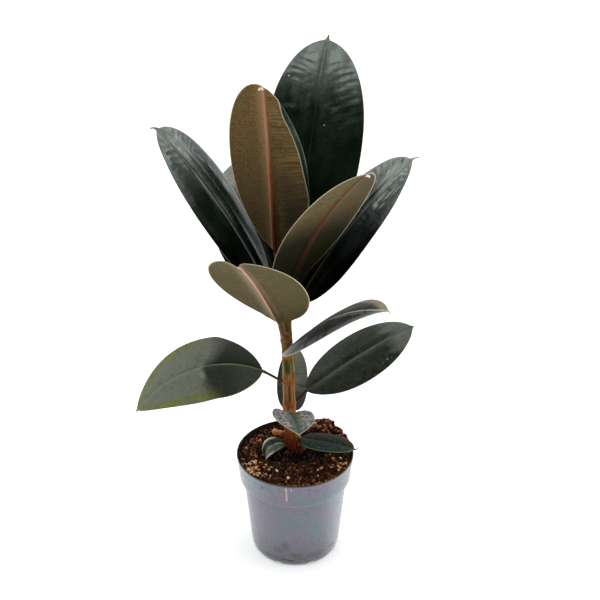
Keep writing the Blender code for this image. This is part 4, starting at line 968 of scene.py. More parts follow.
            # the blue-grey towards the margin of the negative half is a painted highlight
            extra = dict(deep=(0.007, 0.010, 0.006), light=(0.030, 0.032, 0.020), rib=(0.50, 0.50, 0.38), rib_pale=(0.50, 0.42, 0.28), edge=(0.52, 0.46, 0.35), vein=0.35, rib_width=(0.17, 0.24),
                         halves=((0.34, 0.290, 0.195), 0.85, (0.135, 0.175, 0.180), 0.85), halves_reach=(1.35, 0.65), halves_near=(1.15, 0.35), pale_foot=(0.44, 0.47, 0.45), foot_to=4.6, rim_width=0.10,
                         painted_glints=((-2.10, 4.3, 0.65, 1.4, 0.62), (-2.2, 5.8, 0.45, 1.0, 0.26), (-0.75, 10.2, 0.15, 1.5, 0.70), (-0.82, 12.2, 0.15, 1.3, 0.45)), dust_amount=0.34, dust_scale=2.4, dust_cover=(0.48, 0.62), gloss=0.15, rough=0.55, dark_veins=0.6)
        elif name == "leaf_small_front":
            # the pale pink film on the lobes is dust, and partly a painted highlight on their tops
            extra = dict(deep=(0.008, 0.032, 0.016), light=(0.032, 0.085, 0.050), dust_amount=0.86, dust=(0.46, 0.39, 0.38), dust_scale=2.9, dust_cover=(0.42, 0.57), dust_side=1.0, edge=(0.50, 0.48, 0.34), rim_width=0.10, specks=0.10,
                         rib=(0.015, 0.035, 0.02), rib_pale=(0.02, 0.04, 0.02), gloss=0.25, dark_veins=0.5)
        elif name == "leaf_small_right":
            extra = dict(deep=(0.003, 0.009, 0.005), light=(0.014, 0.030, 0.018), tint=(0.8, 1.0, 0.88), specks=0.12, dust_amount=0.55, dust_scale=2.4, dust_cover=(0.50, 0.62), dust=(0.11, 0.095, 0.085), edge=(0.22, 0.26, 0.18),
                         halves=((0.045, 0.046, 0.036), 0.6, (0.006, 0.044, 0.027), 0.6), halves_reach=(0.9, 0.1), gloss=0.05, rib=(0.045, 0.065, 0.040), rib_pale=(0.05, 0.06, 0.035))
        elif name == "leaf_small_left":
            extra = dict(deep=(0.005, 0.014, 0.006), light=(0.014, 0.036, 0.018), rib=(0.40, 0.41, 0.31), rib_pale=(0.30, 0.31, 0.22), edge=(0.82, 0.79, 0.66), rim_width=0.38, rim_from=(1.5, 2.15),
                         painted_glints=((0.40, 2.35, 0.55, 0.50, 0.40), (-0.10, 2.05, 0.35, 0.50, 0.30)), vein=0.55, rib_width=(0.12, 0.08), dust_amount=0.35, dust_cover=(0.5, 0.7), gloss=0.35, dark_veins=0.5)
        elif name == "leaf_behind_stem":
            extra = dict(deep=(0.135, 0.160, 0.122), light=(0.235, 0.255, 0.210), shaded_foot=(3.4, 1.4, 0.75, (0.030, 0.035, 0.026)), vein=0.0, dust_amount=0.12, dust=(0.25, 0.25, 0.22), halves=((0.006, 0.012, 0.008), 0.95, (0.10, 0.11, 0.09), 0.0), dark_veins=0.85, gloss=0.3)
        top = blade_top(name + "_top", **{**low_top, "seed": seed, **extra})
        under = blade_under(name + "_under", (0.085, 0.095, 0.055), (0.12, 0.13, 0.08), (0.10, 0.085, 0.05), (0.16, 0.12, 0.06), (0.15, 0.15, 0.09), (0.32, 0.30, 0.18), 0.28, seed=seed)
        dark = name in ("leaf_low_left", "leaf_low_right")
        skin, streak = ((0.045, 0.020, 0.014), (0.10, 0.035, 0.022)) if dark else ((0.20, 0.14, 0.07), (0.30, 0.17, 0.08))
        if name == "leaf_middle_right":
            skin, streak = (0.36, 0.26, 0.15), (0.48, 0.34, 0.20)
        stalk = stalk_look(name + "_stalk", skin, streak, seed)
    return top, under, stalk


for leaf_name in LEAVES:
    ob = build_leaf(leaf_name, *looks_for(leaf_name))


# ================================================================ stem
NODES = sorted(v[0] for v in LEAVES.values() if v[0] > 13.5) + [30.2]


# what marks the bark: height, side (-1 left edge .. 1 right edge as seen from the front), height and side extent, amount.
# The same kind of marks are laid round the back at other angles.
KNOBS = [(24.05, 0.62, 0.24, 0.40, 1.0), (22.02, -0.42, 0.26, 0.42, 1.0), (19.02, -0.60, 0.26, 0.42, 1.0), (19.12, 0.42, 0.24, 0.40, 0.9),
         (16.20, 0.35, 0.42, 0.75, 0.8), (25.9, 0.2, 0.25, 0.5, 0.7)]
RIDGES = [(20.65, -0.86, 1.05, 0.20, 1.0), (17.70, -0.88, 1.30, 0.22, 0.8), (17.60, 0.90, 1.30, 0.20, 0.85), (23.20, -0.90, 0.85, 0.18, 0.75),
          (20.45, 0.42, 0.90, 0.14, 0.55), (17.75, 0.42, 1.05, 0.16, 0.55), (17.80, -0.35, 1.0, 0.16, 0.45), (26.3, -0.8, 1.3, 0.2, 0.5)]
FURROWS = [(17.75, 0.05, 1.15, 0.20, 1.0), (20.70, -0.25, 0.85, 0.34, 0.75), (20.6, 0.15, 0.9, 0.16, 0.6), (17.2, 0.65, 0.8, 0.14, 0.45),
           (22.9, 0.25, 0.7, 0.40, 0.55), (24.9, 0.3, 0.8, 0.35, 0.5)]


def marked(z, a, table):
    """Strength of the marks in a table at height z and angle a."""
    total = 0 * z
    for i, (h, u, dz, du, amount) in enumerate(table):
        for turn in (0.0, 2.15 + 0.4 * math.sin(i * 2.3), -2.2 + 0.4 * math.cos(i * 1.7)):
            here = -math.pi / 2 + math.asin(u) + turn
            da = np.angle(np.exp(1j * (a - here)))
            shift = 0.0 if turn == 0.0 else 0.35 * math.sin(3.1 * i + turn)
            total = np.maximum(total, amount * np.exp(-(da / du) ** 2) * np.exp(-(np.abs(z - h - shift) / dz) ** (2 if dz < 0.5 else 6)))
    return total


def stem_surface(z, a):
    """Radius of the bark at height z and angle a (arrays)."""
    r = np.interp(z, STEM_RZ, STEM_R)
    r = r + 0.16 * np.exp(-((z - 10.6) / 0.6) ** 2)
    for h in NODES:
        r = r + 0.045 * np.exp(-((z - h + 0.10) / 0.11) ** 2) + 0.022 * np.exp(-((z - h - 0.18) / 0.10) ** 2) - 0.018 * np.exp(-((z - h - 0.03) / 0.05) ** 2)
    for name, v in LEAVES.items():
        h, paz = v[0], v[1] * RAD
        if h < 13.0:
            continue
        da = np.angle(np.exp(1j * (a - paz)))
        r = r + 0.10 * np.exp(-(da / 0.55) ** 2) * np.exp(-((z - h + 0.12) / 0.28) ** 2)
    x, y = np.cos(a), np.sin(a)
    low = smooth((24.0 - z) / 8.0)
    furrow = noise3(x * 3.4, y * 3.4, z * 0.28, 41)
    r = r - (0.008 + 0.020 * low) * np.clip(furrow - 0.05, 0, 1) * 2.0
    r = r + 0.075 * marked(z, a, KNOBS) + 0.030 * marked(z, a, RIDGES) - 0.075 * marked(z, a, FURROWS)
    r = r + 0.012 * fbm(x * 2.4, y * 2.4, z * 1.4, 47, 4) + 0.008 * noise3(x * 8, y * 8, z * 9.0, 53)
    r = r + 0.020 * noise3(x * 1.1, y * 1.1, z * 0.5, 59)
    return r


def bark_look():
    k = Look("bark", IOR=1.42)
    k.bsdf.inputs["Specular IOR Level"].default_value = 0.08
    v = k.coordinates()
    x, y, z = k.split(v)
    knob, ridge, furrow = k.split(k.attribute("mark").outputs["Vector"])
    lengthwise = k.noise(k.stretch(v, 3.2, 3.2, 0.42), 1.3, 5.0, 0.62)
    streaks = k.noise(k.stretch(v, 7.0, 7.0, 0.55), 1.2, 4.0, 0.65)
    spots = k.noise(k.stretch(v, 1.6, 1.6, 1.0), 3.0, 5.0, 0.65)
    grit = k.noise(v, 9.0, 4.0, 0.7)
    # height bands: vivid orange-red foot, tan middle, olive top
    zone = k.ramp(k.math("DIVIDE", k.add(z, k.mul(k.sub(spots, 0.5), 1.0)), 32.0),
                  [(10.5 / 32, (0.06, 0.012, 0.004)), (11.6 / 32, (0.13, 0.022, 0.005)), (12.6 / 32, (0.22, 0.042, 0.009)), (14.0 / 32, (0.30, 0.082, 0.022)),
                   (15.6 / 32, (0.27, 0.098, 0.028)), (17.2 / 32, (0.23, 0.088, 0.025)), (18.9 / 32, (0.29, 0.098, 0.026)), (19.6 / 32, (0.16, 0.098, 0.028)),
                   (20.4 / 32, (0.066, 0.060, 0.010)), (21.6 / 32, (0.074, 0.062, 0.011)), (22.1 / 32, (0.26, 0.105, 0.030)), (22.8 / 32, (0.145, 0.092, 0.028)),
                   (24.1 / 32, (0.225, 0.132, 0.036)), (26.5 / 32, (0.170, 0.138, 0.044)), (30.5 / 32, (0.17, 0.125, 0.045))])
    light = k.mix(k.step(z, 19.7, 20.6), (0.50, 0.255, 0.090), (0.175, 0.145, 0.034))
    light = k.mix(k.step(z, 14.5, 13.0), light, (0.36, 0.095, 0.028))
    colour = k.mix(k.mul(k.step(lengthwise, 0.51, 0.60), 0.65), zone, light)
    dark = k.mix(k.step(z, 19.5, 20.5), (0.095, 0.032, 0.012), (0.035, 0.036, 0.012))
    colour = k.mix(k.mul(k.step(streaks, 0.48, 0.38), 0.85), colour, dark)
    colour = k.mix(k.mul(k.step(spots, 0.60, 0.74), 0.45), colour, (0.065, 0.050, 0.02))
    # pale ridges; near the left and right edges as seen from the front, their pale colour also stands in for the
    # highlights along the stem's edges, partly a painted highlight
    colour = k.mix(k.mul(ridge, 0.85), colour, k.mix(k.step(streaks, 0.35, 0.65), (0.58, 0.37, 0.170), (0.32, 0.155, 0.050)))
    colour = k.mix(k.mul(k.step(furrow, 0.15, 0.75), 0.85), colour, dark)
    warm = k.mix(k.step(spots, 0.40, 0.62), (0.44, 0.135, 0.035), (0.24, 0.062, 0.020))
    colour = k.mix(k.mul(k.step(knob, 0.20, 0.75), 0.85), colour, warm)
    # brown rings where leaves leave the stem
    for h in NODES:
        if h < 18.0:
            continue
        d = k.math("ABSOLUTE", k.sub(z, h - 0.08))
        colour = k.mix(k.mul(k.step(k.add(d, k.mul(k.sub(spots, 0.5), 0.25)), 0.26, 0.08), 0.45), colour, (0.32, 0.115, 0.038))
        d2 = k.math("ABSOLUTE", k.sub(z, h + 0.04))
        colour = k.mix(k.mul(k.step(d2, 0.06, 0.02), 0.55), colour, (0.07, 0.030, 0.014))
    colour = k.mix(k.mul(k.step(grit, 0.58, 0.74), 0.35), colour, light)
    colour = k.mix(k.mul(k.step(grit, 0.42, 0.28), 0.35), colour, dark)
    height = k.add(k.mul(lengthwise, 0.5), k.add(k.mul(streaks, 0.7), k.mul(spots, 0.25)))
    normal = k.bump(height, 0.6, 0.0008)
    rough = k.add(0.50, k.mul(k.sub(spots, 0.5), 0.3))
    return k.finish(colour, rough, normal)


def build_stem():
    m = 72
    zs = np.linspace(10.2, STEM_TOP, 360)
    a = np.linspace(0, 2 * math.pi, m, endpoint=False)
    zz, aa = np.meshgrid(zs, a, indexing="ij")
    r = stem_surface(zz, aa)
    close = np.sqrt(np.clip(1 - ((zz - (STEM_TOP - 0.35)) / 0.36) ** 2, 0.0, 1)) * (zz > STEM_TOP - 0.35) + (zz <= STEM_TOP - 0.35)
    r = r * np.maximum(close, 0.55)
    cx, cy = np.interp(zz, STEM_Z, STEM_X), np.interp(zz, STEM_Z, STEM_Y)
    verts = np.stack([cx + r * np.cos(aa), cy + r * np.sin(aa), zz], -1).reshape(-1, 3)
    marks = np.stack([marked(zz, aa, KNOBS), marked(zz, aa, RIDGES), marked(zz, aa, FURROWS)], -1).reshape(-1, 3)
    marks = np.vstack([marks, np.zeros((2, 3))])
    k = len(zs)
    faces = ring_quads(k, m).tolist()
    verts = np.vstack([verts, [STEM_X[1], STEM_Y[1], zs[0]], [cx[-1, 0], cy[-1, 0], zs[-1] + 0.05]])
    faces += [(k * m, (j + 1) % m, j) for j in range(m)]
    faces += [(k * m + 1, (k - 1) * m + j, (k - 1) * m + (j + 1) % m) for j in range(m)]
    return new_piece("stem_bark", verts, faces, [bark_look()], attributes={"mark": marks}, replaces="stem")


def sheath_look():
    k = Look("bud_sheath", IOR=1.45)
    v = k.coordinates()
    lines = k.noise(k.stretch(v, 6.0, 6.0, 0.5), 1.5, 3.0)
    blush = k.noise(v, 0.9, 3.0)
    colour = k.mix(k.step(lines, 0.35, 0.7), (0.22, 0.028, 0.022), (0.36, 0.060, 0.040))
    colour = k.mix(k.mul(k.step(blush, 0.5, 0.75), 0.5), colour, (0.25, 0.13, 0.05))
    return k.finish(colour, k.add(0.34, k.mul(blush, 0.15)), k.bump(lines, 0.5, 0.0005))


def build_terminal_bud():
    rows, m = 60, 28
    f = np.linspace(0, 1, rows)
    a = np.linspace(0, 2 * math.pi, m, endpoint=False)
    r = 0.30 * (1 - f) ** 0.75 * (1 + 0.25 * np.sin(math.pi * np.minimum(f * 2, 1))) + 0.012
    c = stem_centre(STEM_TOP) + np.stack([0.05 * f, 0.35 * f * f, np.zeros_like(f)], -1)
    z = STEM_TOP - 0.25 + 3.85 * f
    # the sheath is rolled: one edge laps over the other and winds up to the point
    lap = np.angle(np.exp(1j * (a[None] - 2.4 * f[:, None] - 4.0)))
    rr = r[:, None] * (1 + 0.10 * smooth((lap + 3.14) / 6.28) + 0.02 * np.sin(9 * a[None] + 3 * f[:, None]))
    verts = np.stack([c[:, None, 0] + rr * np.cos(a), c[:, None, 1] + rr * np.sin(a), np.repeat(z[:, None], m, 1)], -1).reshape(-1, 3)
    faces = ring_quads(rows, m).tolist()
    verts = np.vstack([verts, [c[0, 0], c[0, 1], z[0]], [c[-1, 0], c[-1, 1], z[-1] + 0.02]])
    faces += [(rows * m, (j + 1) % m, j) for j in range(m)]
    faces += [(rows * m + 1, (rows - 1) * m + j, (rows - 1) * m + (j + 1) % m) for j in range(m)]
    return new_piece("terminal_bud_sheath", verts, faces, [sheath_look()], replaces="terminal_bud")


def stub_look():
    k = Look("orange_stub", IOR=1.45)
    v = k.coordinates()
    patches = k.noise(v, 2.2, 5.0, 0.6)
    x, y, z = k.split(v)
    colour = k.mix(k.step(patches, 0.38, 0.66), (0.45, 0.090, 0.010), (0.66, 0.20, 0.030))
    colour = k.mix(k.mul(k.step(x, -1.55, -1.25), 0.85), colour, (0.10, 0.030, 0.010))
    # painted highlight: the top of the stub is painted a lighter orange
    colour = k.mix(k.mul(k.step(z, 12.55, 12.80), 0.70), colour, (0.82, 0.42, 0.16))
    colour = k.mix(k.mul(k.step(patches, 0.62, 0.75), 0.6), colour, (0.12, 0.04, 0.018))
    return k.finish(colour, 0.55, k.bump(patches, 0.6, 0.0008))


def build_side_bud():
    z = 12.42
    c = stem_centre(z)
    heading = np.array([-0.995, 0.10, 0.0])
    side = np.array([-0.10, -0.995, 0.0])
    s = np.linspace(0, 1, 34)
    dist = stem_radius(z) - 0.15 + s * 1.42
    r = np.interp(s, [0, 0.12, 0.22, 0.36, 0.50, 0.60, 0.74, 0.88, 0.96, 1.0], [0.20, 0.27, 0.20, 0.27, 0.20, 0.24, 0.33, 0.31, 0.21, 0.04])
    lift = 0.10 * smooth(s) + 0.02 * np.sin(7 * s)
    m = 24
    a = np.linspace(0, 2 * math.pi, m, endpoint=False)
    rr = r[:, None] * (1 + 0.10 * noise3(np.cos(a)[None] * 1.6, np.sin(a)[None] * 1.6, s[:, None] * 4.0, 71))
    verts = (c + heading * dist[:, None])[:, None] + np.array([0, 0, 1.0]) * lift[:, None, None]
    verts = verts + side * (rr * np.cos(a))[..., None] + np.array([0, 0, 1.0]) * (rr * np.sin(a))[..., None]
    verts = verts.reshape(-1, 3)
    faces = ring_quads(len(s), m).tolist()
    k = len(s)
    verts = np.vstack([verts, verts[:m].mean(0), verts[-m:].mean(0)])
    faces += [(k * m, (j + 1) % m, j) for j in range(m)]
    faces += [(k * m + 1, (k - 1) * m + j, (k - 1) * m + (j + 1) % m) for j in range(m)]
    faces = [tuple(reversed(f)) for f in faces]
    return new_piece("side_stub", verts, faces, [stub_look()], replaces="side_bud")


build_stem()
build_terminal_bud()
build_side_bud()


# ================================================================ pot
def arc(p0, p1, p2, n=5):
    """Rounds the corner p1 between p0 and p2 with a quadratic curve."""
    p0, p1, p2 = map(np.array, (p0, p1, p2))
    return [tuple((1 - f) ** 2 * p0 + 2 * f * (1 - f) * p1 + f * f * p2) for f in np.linspace(0, 1, n)]


def rounded(points, radii):
    """The polyline with its inner corners rounded."""
    out = [points[0]]
    for i in range(1, len(points) - 1):
        p0, p1, p2 = (np.array(points[i + d], float) for d in (-1, 0, 1))
        r = radii[i]
        if r <= 0:
            out.append(tuple(p1))
            continue
        a = p1 + (p0 - p1) / np.linalg.norm(p0 - p1) * min(r, 0.45 * np.linalg.norm(p0 - p1))
        b = p1 + (p2 - p1) / np.linalg.norm(p2 - p1) * min(r, 0.45 * np.linalg.norm(p2 - p1))
        out += arc(a, p1, b)
    out.append(points[-1])
    return out


def pot_look():
    k = Look("pot_plastic", IOR=1.58)
    k.bsdf.inputs["Sheen Weight"].default_value = 0.40
    k.bsdf.inputs["Sheen Roughness"].default_value = 0.35
    k.bsdf.inputs["Sheen Tint"].default_value = (0.86, 0.95, 1.0, 1.0)
    v = k.coordinates()
    x, y, z = k.split(v)
    cloud = k.noise(v, 0.40, 4.0, 0.6)
    tint = k.noise(v, 0.9, 3.0, 0.6, 0.6)
    haze = k.noise(v, 2.6, 5.0, 0.65)
    grain = k.noise(v, 16.0, 4.0, 0.6)
    colour = k.mix(k.step(cloud, 0.43, 0.57), (0.112, 0.146, 0.176), (0.156, 0.130, 0.188))
    colour = k.mix(k.mul(k.step(tint, 0.53, 0.64), 0.60), colour, (0.128, 0.182, 0.198))
    colour = k.mix(k.mul(k.step(tint, 0.46, 0.36), 0.50), colour, (0.176, 0.134, 0.204))
    colour = k.mix(k.mul(k.step(haze, 0.52, 0.78), 0.40), colour, (0.172, 0.195, 0.220))
    colour = k.mix(k.mul(k.step(grain, 0.55, 0.80), 0.20), colour, (0.24, 0.25, 0.29))
    tweed = k.noise(v, 5.5, 3.0, 0.7)
    colour = k.mix(k.mul(k.step(tweed, 0.52, 0.62), 0.34), colour, (0.205, 0.148, 0.205))
    colour = k.mix(k.mul(k.step(tweed, 0.48, 0.38), 0.34), colour, (0.088, 0.152, 0.165))
    # painted shade darkens the wall towards the foot, and fine scuffs run round it
    scuff = k.noise(k.stretch(v, 1.0, 1.0, 7.0), 1.4, 5.0, 0.7)
    colour = k.mix(k.mul(k.step(z, 5.0, 0.8), 0.44), colour, (0.064, 0.064, 0.080))
    foot = k.mul(k.step(z, 3.4, 0.4), k.step(scuff, 0.42, 0.66))
    colour = k.mix(k.mul(foot, 0.60), colour, (0.078, 0.076, 0.096))
    band = k.step(k.add(z, k.mul(k.sub(haze, 0.5), 0.08)), 0.56, 0.44)
    colour = k.mix(k.mul(band, 0.65), colour, (0.125, 0.165, 0.180))
    # painted shadow: a dark line where the body meets the chamfered foot, broken up by the scuff pattern
    shadow_line = k.step(k.math("ABSOLUTE", k.sub(k.add(z, k.mul(k.sub(haze, 0.5), 0.10)), 0.60)), 0.11, 0.03)
    shadow_line = k.mul(shadow_line, k.step(scuff, 0.36, 0.52))
    colour = k.mix(k.mul(shadow_line, 0.88), colour, (0.044, 0.022, 0.040))
    nicks = k.mul(k.step(z, 1.9, 0.6), k.step(k.noise(k.stretch(v, 1.0, 1.0, 3.0), 3.4, 4.0, 0.7), 0.66, 0.72))
    colour = k.mix(k.mul(nicks, 0.65), colour, (0.045, 0.042, 0.050))
    # smears of dried peat low down, and faint runs down the wall
    smear = k.mul(k.step(z, 2.6, 0.8), k.step(k.noise(k.stretch(v, 1.0, 1.0, 1.8), 2.6, 5.0, 0.7), 0.535, 0.59))
    colour = k.mix(k.mul(smear, 0.70), colour, (0.052, 0.026, 0.034))
    runs = k.step(k.noise(k.stretch(v, 3.2, 3.2, 0.22), 1.4, 4.0, 0.65), 0.55, 0.66)
    colour = k.mix(k.mul(runs, 0.22), colour, (0.23, 0.235, 0.25))
    # peat dust under the lip, mostly on the right
    dust = k.mul(k.step(z, 8.6, 11.2), k.step(k.noise(v, 1.9, 5.0, 0.7), 0.54, 0.72))
    dust = k.mul(dust, k.step(x, -1.0, 3.0, 0.10, 0.9))
    colour = k.mix(k.mul(dust, 0.40), colour, (0.20, 0.130, 0.105))
    # a greenish water mark at the front right; the right flank is painted paler and bluer, a painted reflection
    mark = k.step(k.add(k.distance(v, (3.85, -4.35, 10.2)), k.mul(k.sub(haze, 0.5), 0.8)), 0.62, 0.30)
    colour = k.mix(k.mul(mark, 0.55), colour, (0.150, 0.205, 0.175))
    colour = k.mix(k.mul(k.step(x, 2.4, 4.6), k.step(z, 9.6, 8.4, 0.45, 0.90)), colour, (0.245, 0.262, 0.296))
    # painted highlight: the lip is paler and bluer at the left end
    left_highlight = k.mul(k.step(z, 8.3, 8.9), k.step(x, -2.6, -4.6))
    colour = k.mix(k.mul(left_highlight, 0.52), colour, (0.215, 0.280, 0.290))
    # dried smudges of red-brown peat along the foot at the front: (x, z, half width, half height, amount); the thin,
    # darkest ones also paint the shadow line at the foot
    for sx, sz, dx, dz, amount in ((-2.60, 0.98, 0.62, 0.13, 0.80), (-1.75, 0.97, 0.60, 0.12, 0.90), (-1.05, 0.88, 0.55, 0.12, 0.90), (-0.50, 0.82, 0.42, 0.16, 1.0),
                                   (-1.00, 2.70, 0.45, 0.75, 0.50), (0.05, 1.55, 0.62, 0.42, 0.70), (2.10, 1.40, 0.85, 0.32, 0.60), (-1.80, 2.10, 0.55, 0.45, 0.50),
                                   (3.75, 1.40, 0.30, 0.20, 0.90), (0.85, 1.05, 0.6, 0.14, 0.5)):
        d = k.distance(k.stretch(v, 1 / dx, 0.0, 1 / dz), (sx / dx, 0.0, sz / dz))
        d = k.add(d, k.mul(k.sub(haze, 0.5), 1.6))
        colour = k.mix(k.mul(k.mul(k.step(d, 1.25, 0.55), k.step(y, 0.0, -1.0)), amount), colour, (0.028, 0.007, 0.013) if dz < 0.2 else (0.052, 0.030, 0.033))
    # a dried drip below the lip at the front: two streaks joined at the top
    front = k.step(y, -4.0, -5.0)
    wav = k.mul(k.sub(haze, 0.5), 0.16)
    lean = k.mul(k.sub(11.0, z), 0.05)
    long_run = k.mul(k.step(k.math("ABSOLUTE", k.sub(k.sub(k.add(x, wav), lean), -0.88)), 0.115, 0.040), k.mul(k.step(z, 9.15, 9.55), k.step(z, 11.10, 10.95)))
    short_run = k.mul(k.step(k.math("ABSOLUTE", k.sub(k.add(x, wav), -0.36)), 0.085, 0.03), k.mul(k.step(z, 10.55, 10.75), k.step(z, 11.10, 10.95)))
    drip = k.mul(front, k.math("MAXIMUM", long_run, short_run))
    colour = k.mix(k.mul(drip, 0.80), colour, (0.56, 0.43, 0.32))
    # the top edge of the lip is darkened
    line = k.step(k.add(z, k.mul(k.sub(haze, 0.5), 0.10)), 11.12, 11.19)
    colour = k.mix(k.mul(line, 0.85), colour, (0.030, 0.022, 0.018))
    rough = k.add(0.28, k.mul(k.sub(haze, 0.5), 0.18))
    height = k.add(k.mul(grain, 0.35), k.add(k.mul(haze, 0.5), k.mul(scuff, 0.25)))
    return k.finish(colour, rough, k.bump(height, 0.28, 0.0004))


def pot_inside_look():
    """The inner wall is near black, with paler and reddish mottling, right up to the lip."""
    k = Look("pot_inside", IOR=1.40)
    k.bsdf.inputs["Specular IOR Level"].default_value = 0.25
    v = k.coordinates()
    inner_mottle = k.noise(v, 2.2, 5.0, 0.65)
    grit = k.noise(v, 11.0, 4.0, 0.7)
    colour = k.mix(k.step(inner_mottle, 0.40, 0.62), (0.010, 0.007, 0.006), (0.032, 0.022, 0.018))
    colour = k.mix(k.mul(k.step(inner_mottle, 0.62, 0.74), 0.6), colour, (0.085, 0.088, 0.100))
    colour = k.mix(k.mul(k.step(grit, 0.62, 0.74), 0.5), colour, (0.12, 0.050, 0.025))
    return k.finish(colour, 0.75, k.bump(grit, 0.6, 0.0006))


def build_pot():
    top = POT_HEIGHT - COLLAR_H
    outer = [(0.0, 0.0), (FOOT_R, 0.0), (FOOT_R + 0.18, 0.15), (BODY_LOW_R - 0.06, 0.52), (BODY_LOW_R, FOOT_H),
             (STEP_R, top - STEP_H), (COLLAR_LOW_R - 0.16, top - 0.10), (COLLAR_LOW_R, top + 0.02),
             (RIM_R - 0.055, POT_HEIGHT - 0.30), (RIM_R, POT_HEIGHT - 0.22), (RIM_R, POT_HEIGHT)]
    inner = [(RIM_R - WALL, POT_HEIGHT), (RIM_R - WALL - 0.06, POT_HEIGHT - 0.30),
             (COLLAR_LOW_R - WALL, top + 0.10), (COLLAR_LOW_R - WALL - 0.12, top),
             (STEP_R - WALL, top - STEP_H - 0.05), (BODY_LOW_R - WALL, FOOT_H + 0.10),
             (BODY_LOW_R - 0.07 - WALL, 0.60), (FOOT_R + 0.16 - WALL, FLOOR + 0.08), (FOOT_R - WALL - 0.10, FLOOR), (0.0, FLOOR)]
    line = outer + inner
    radii = [0, 0.05, 0.08, 0.20, 0.25, 0.16, 0.10, 0.09, 0.05, 0.05, 0.05, 0.05, 0.1, 0.1, 0.1, 0.1, 0.2, 0.1, 0.05, 0.05, 0]
    prof = rounded(line, radii)
    # more rows on the long walls, so that they can bow very slightly
    fine = [prof[0]]
    for a, b in zip(prof[:-1], prof[1:]):
        steps = max(1, int(math.hypot(b[0] - a[0], b[1] - a[1]) / 0.35))
        for s in range(1, steps + 1):
            fine.append((a[0] + (b[0] - a[0]) * s / steps, a[1] + (b[1] - a[1]) * s / steps))
    prof = np.array(fine[1:-1])
    m = 224
    a = np.linspace(0, 2 * math.pi, m, endpoint=False)
    r = prof[:, 0][:, None] * np.ones(m)[None]
    zz = prof[:, 1][:, None] * np.ones(m)[None]
    ca, sa = np.cos(a)[None], np.sin(a)[None]
    soft = smooth((prof[:, 1] - 1.5) / 3.0)[:, None]
    r = r * (1 + 0.0022 * soft * noise3(ca * 1.3, sa * 1.3, zz * 0.25, 83)) + 0.006 * soft * np.cos(2 * a + 0.6)[None]
    r = np.minimum(r, RIM_R + 0.004)
    verts = np.stack([r * ca, r * sa, zz], -1).reshape(-1, 3)
    k = len(prof)
    faces = ring_quads(k, m).tolist()
    index = (np.repeat(np.arange(k - 1), m) >= int(np.argmax(prof[:, 1]))).astype(int)
    verts = np.vstack([verts, [0, 0, 0], [0, 0, FLOOR]])
    faces += [(k * m, (j + 1) % m, j) for j in range(m)]
    faces += [(k * m + 1, (k - 1) * m + j, (k - 1) * m + (j + 1) % m) for j in range(m)]
    index = np.concatenate([index, np.zeros(m, int), np.ones(m, int)])
    v = np.asarray(verts)
    vol = sum(float(np.dot(v[f[0]], np.cross(v[f[1]], v[f[2]]))) for f in faces[::7])
    if vol < 0:
        faces = [tuple(reversed(f)) for f in faces]
    ob = new_piece("pot_shell", verts, faces, [pot_look(), pot_inside_look()], index, replaces="nursery_pot")

    # drainage slots, cut and applied here
    tv, tf = [], []
    for s in range(SLOTS):
        ang = 2 * math.pi * (s + 0.5) / SLOTS
        c, q = math.cos(ang), math.sin(ang)
        o = len(tv)
        shape = ((-0.5, -0.2), (0.5, -0.2), (0.5, SLOT_H - 0.02), (0.46, SLOT_H + 0.07), (0.36, SLOT_H + 0.12),
                 (-0.36, SLOT_H + 0.12), (-0.46, SLOT_H + 0.07), (-0.5, SLOT_H - 0.02))
        for rad in (FOOT_R - 0.75, BODY_LOW_R + 0.6):
            for t, z in shape:
                tv.append((rad * c - t * SLOT_W * q, rad * q + t * SLOT_W * c, z))
        e = len(shape)
        for j in range(e):
            n = (j + 1) % e
            tf.append((o + j, o + n, o + e + n, o + e + j))
        tf.append(tuple(o + j for j in reversed(range(e))))
        tf.append(tuple(o + e + j for j in range(e)))
    mesh = bpy.data.meshes.new("slot_tool")
    mesh.from_pydata([(x * CM, y * CM, z * CM) for x, y, z in tv], [], tf)
    mesh.update()
    tool = bpy.data.objects.new("slot_tool", mesh)
    bpy.context.scene.collection.objects.link(tool)
    cut = ob.modifiers.new("slots", "BOOLEAN")
    cut.operation = "DIFFERENCE"
    cut.solver = "EXACT"
    cut.object = tool
    bpy.context.view_layer.objects.active = ob
    with bpy.context.temp_override(object=ob, active_object=ob, selected_objects=[ob]):
        bpy.ops.object.modifier_apply(modifier=cut.name)
    bpy.data.objects.remove(tool, do_unlink=True)
    bpy.data.meshes.remove(mesh)
    ob.data.shade_smooth()
    ob.data.set_sharp_from_angle(angle=38 * RAD)
    return ob


build_pot()


# ================================================================ peat
def soil_height(x, y):
    h = SOIL_LEVEL + 0 * x
    h = h + 1.15 * np.exp(-(((x - 3.0) / 1.9) ** 2 + ((y - 3.7) / 1.5) ** 2))
    h = h - 0.22 * np.exp(-(((x + 5.2) / 2.0) ** 2 + ((y - 0.8) / 3.2) ** 2))
    h = h - 0.25 * np.exp(-(((x + 2.6) / 2.2) ** 2 + ((y - 4.6) / 1.9) ** 2))
    h = h + 0.30 * np.exp(-(((x + 4.2) / 0.9) ** 2 + ((y - 1.5) / 1.0) ** 2))
    h = h - 0.75 * np.exp(-(((x + 2.9) / 1.4) ** 2 + ((y - 0.1) / 1.5) ** 2))
    h = h - 0.30 * np.exp(-(((x - 1.2) / 2.4) ** 2 + ((y + 0.6) / 1.6) ** 2))
    h = h + 0.10 * np.sin(2.1 * x + 0.6) * np.cos(1.9 * y - 0.4)
    h = h + 0.05 * np.sin(4.3 * x - 1.7 * y) + 0.04 * np.cos(3.7 * y + 2.9 * x)
    return h


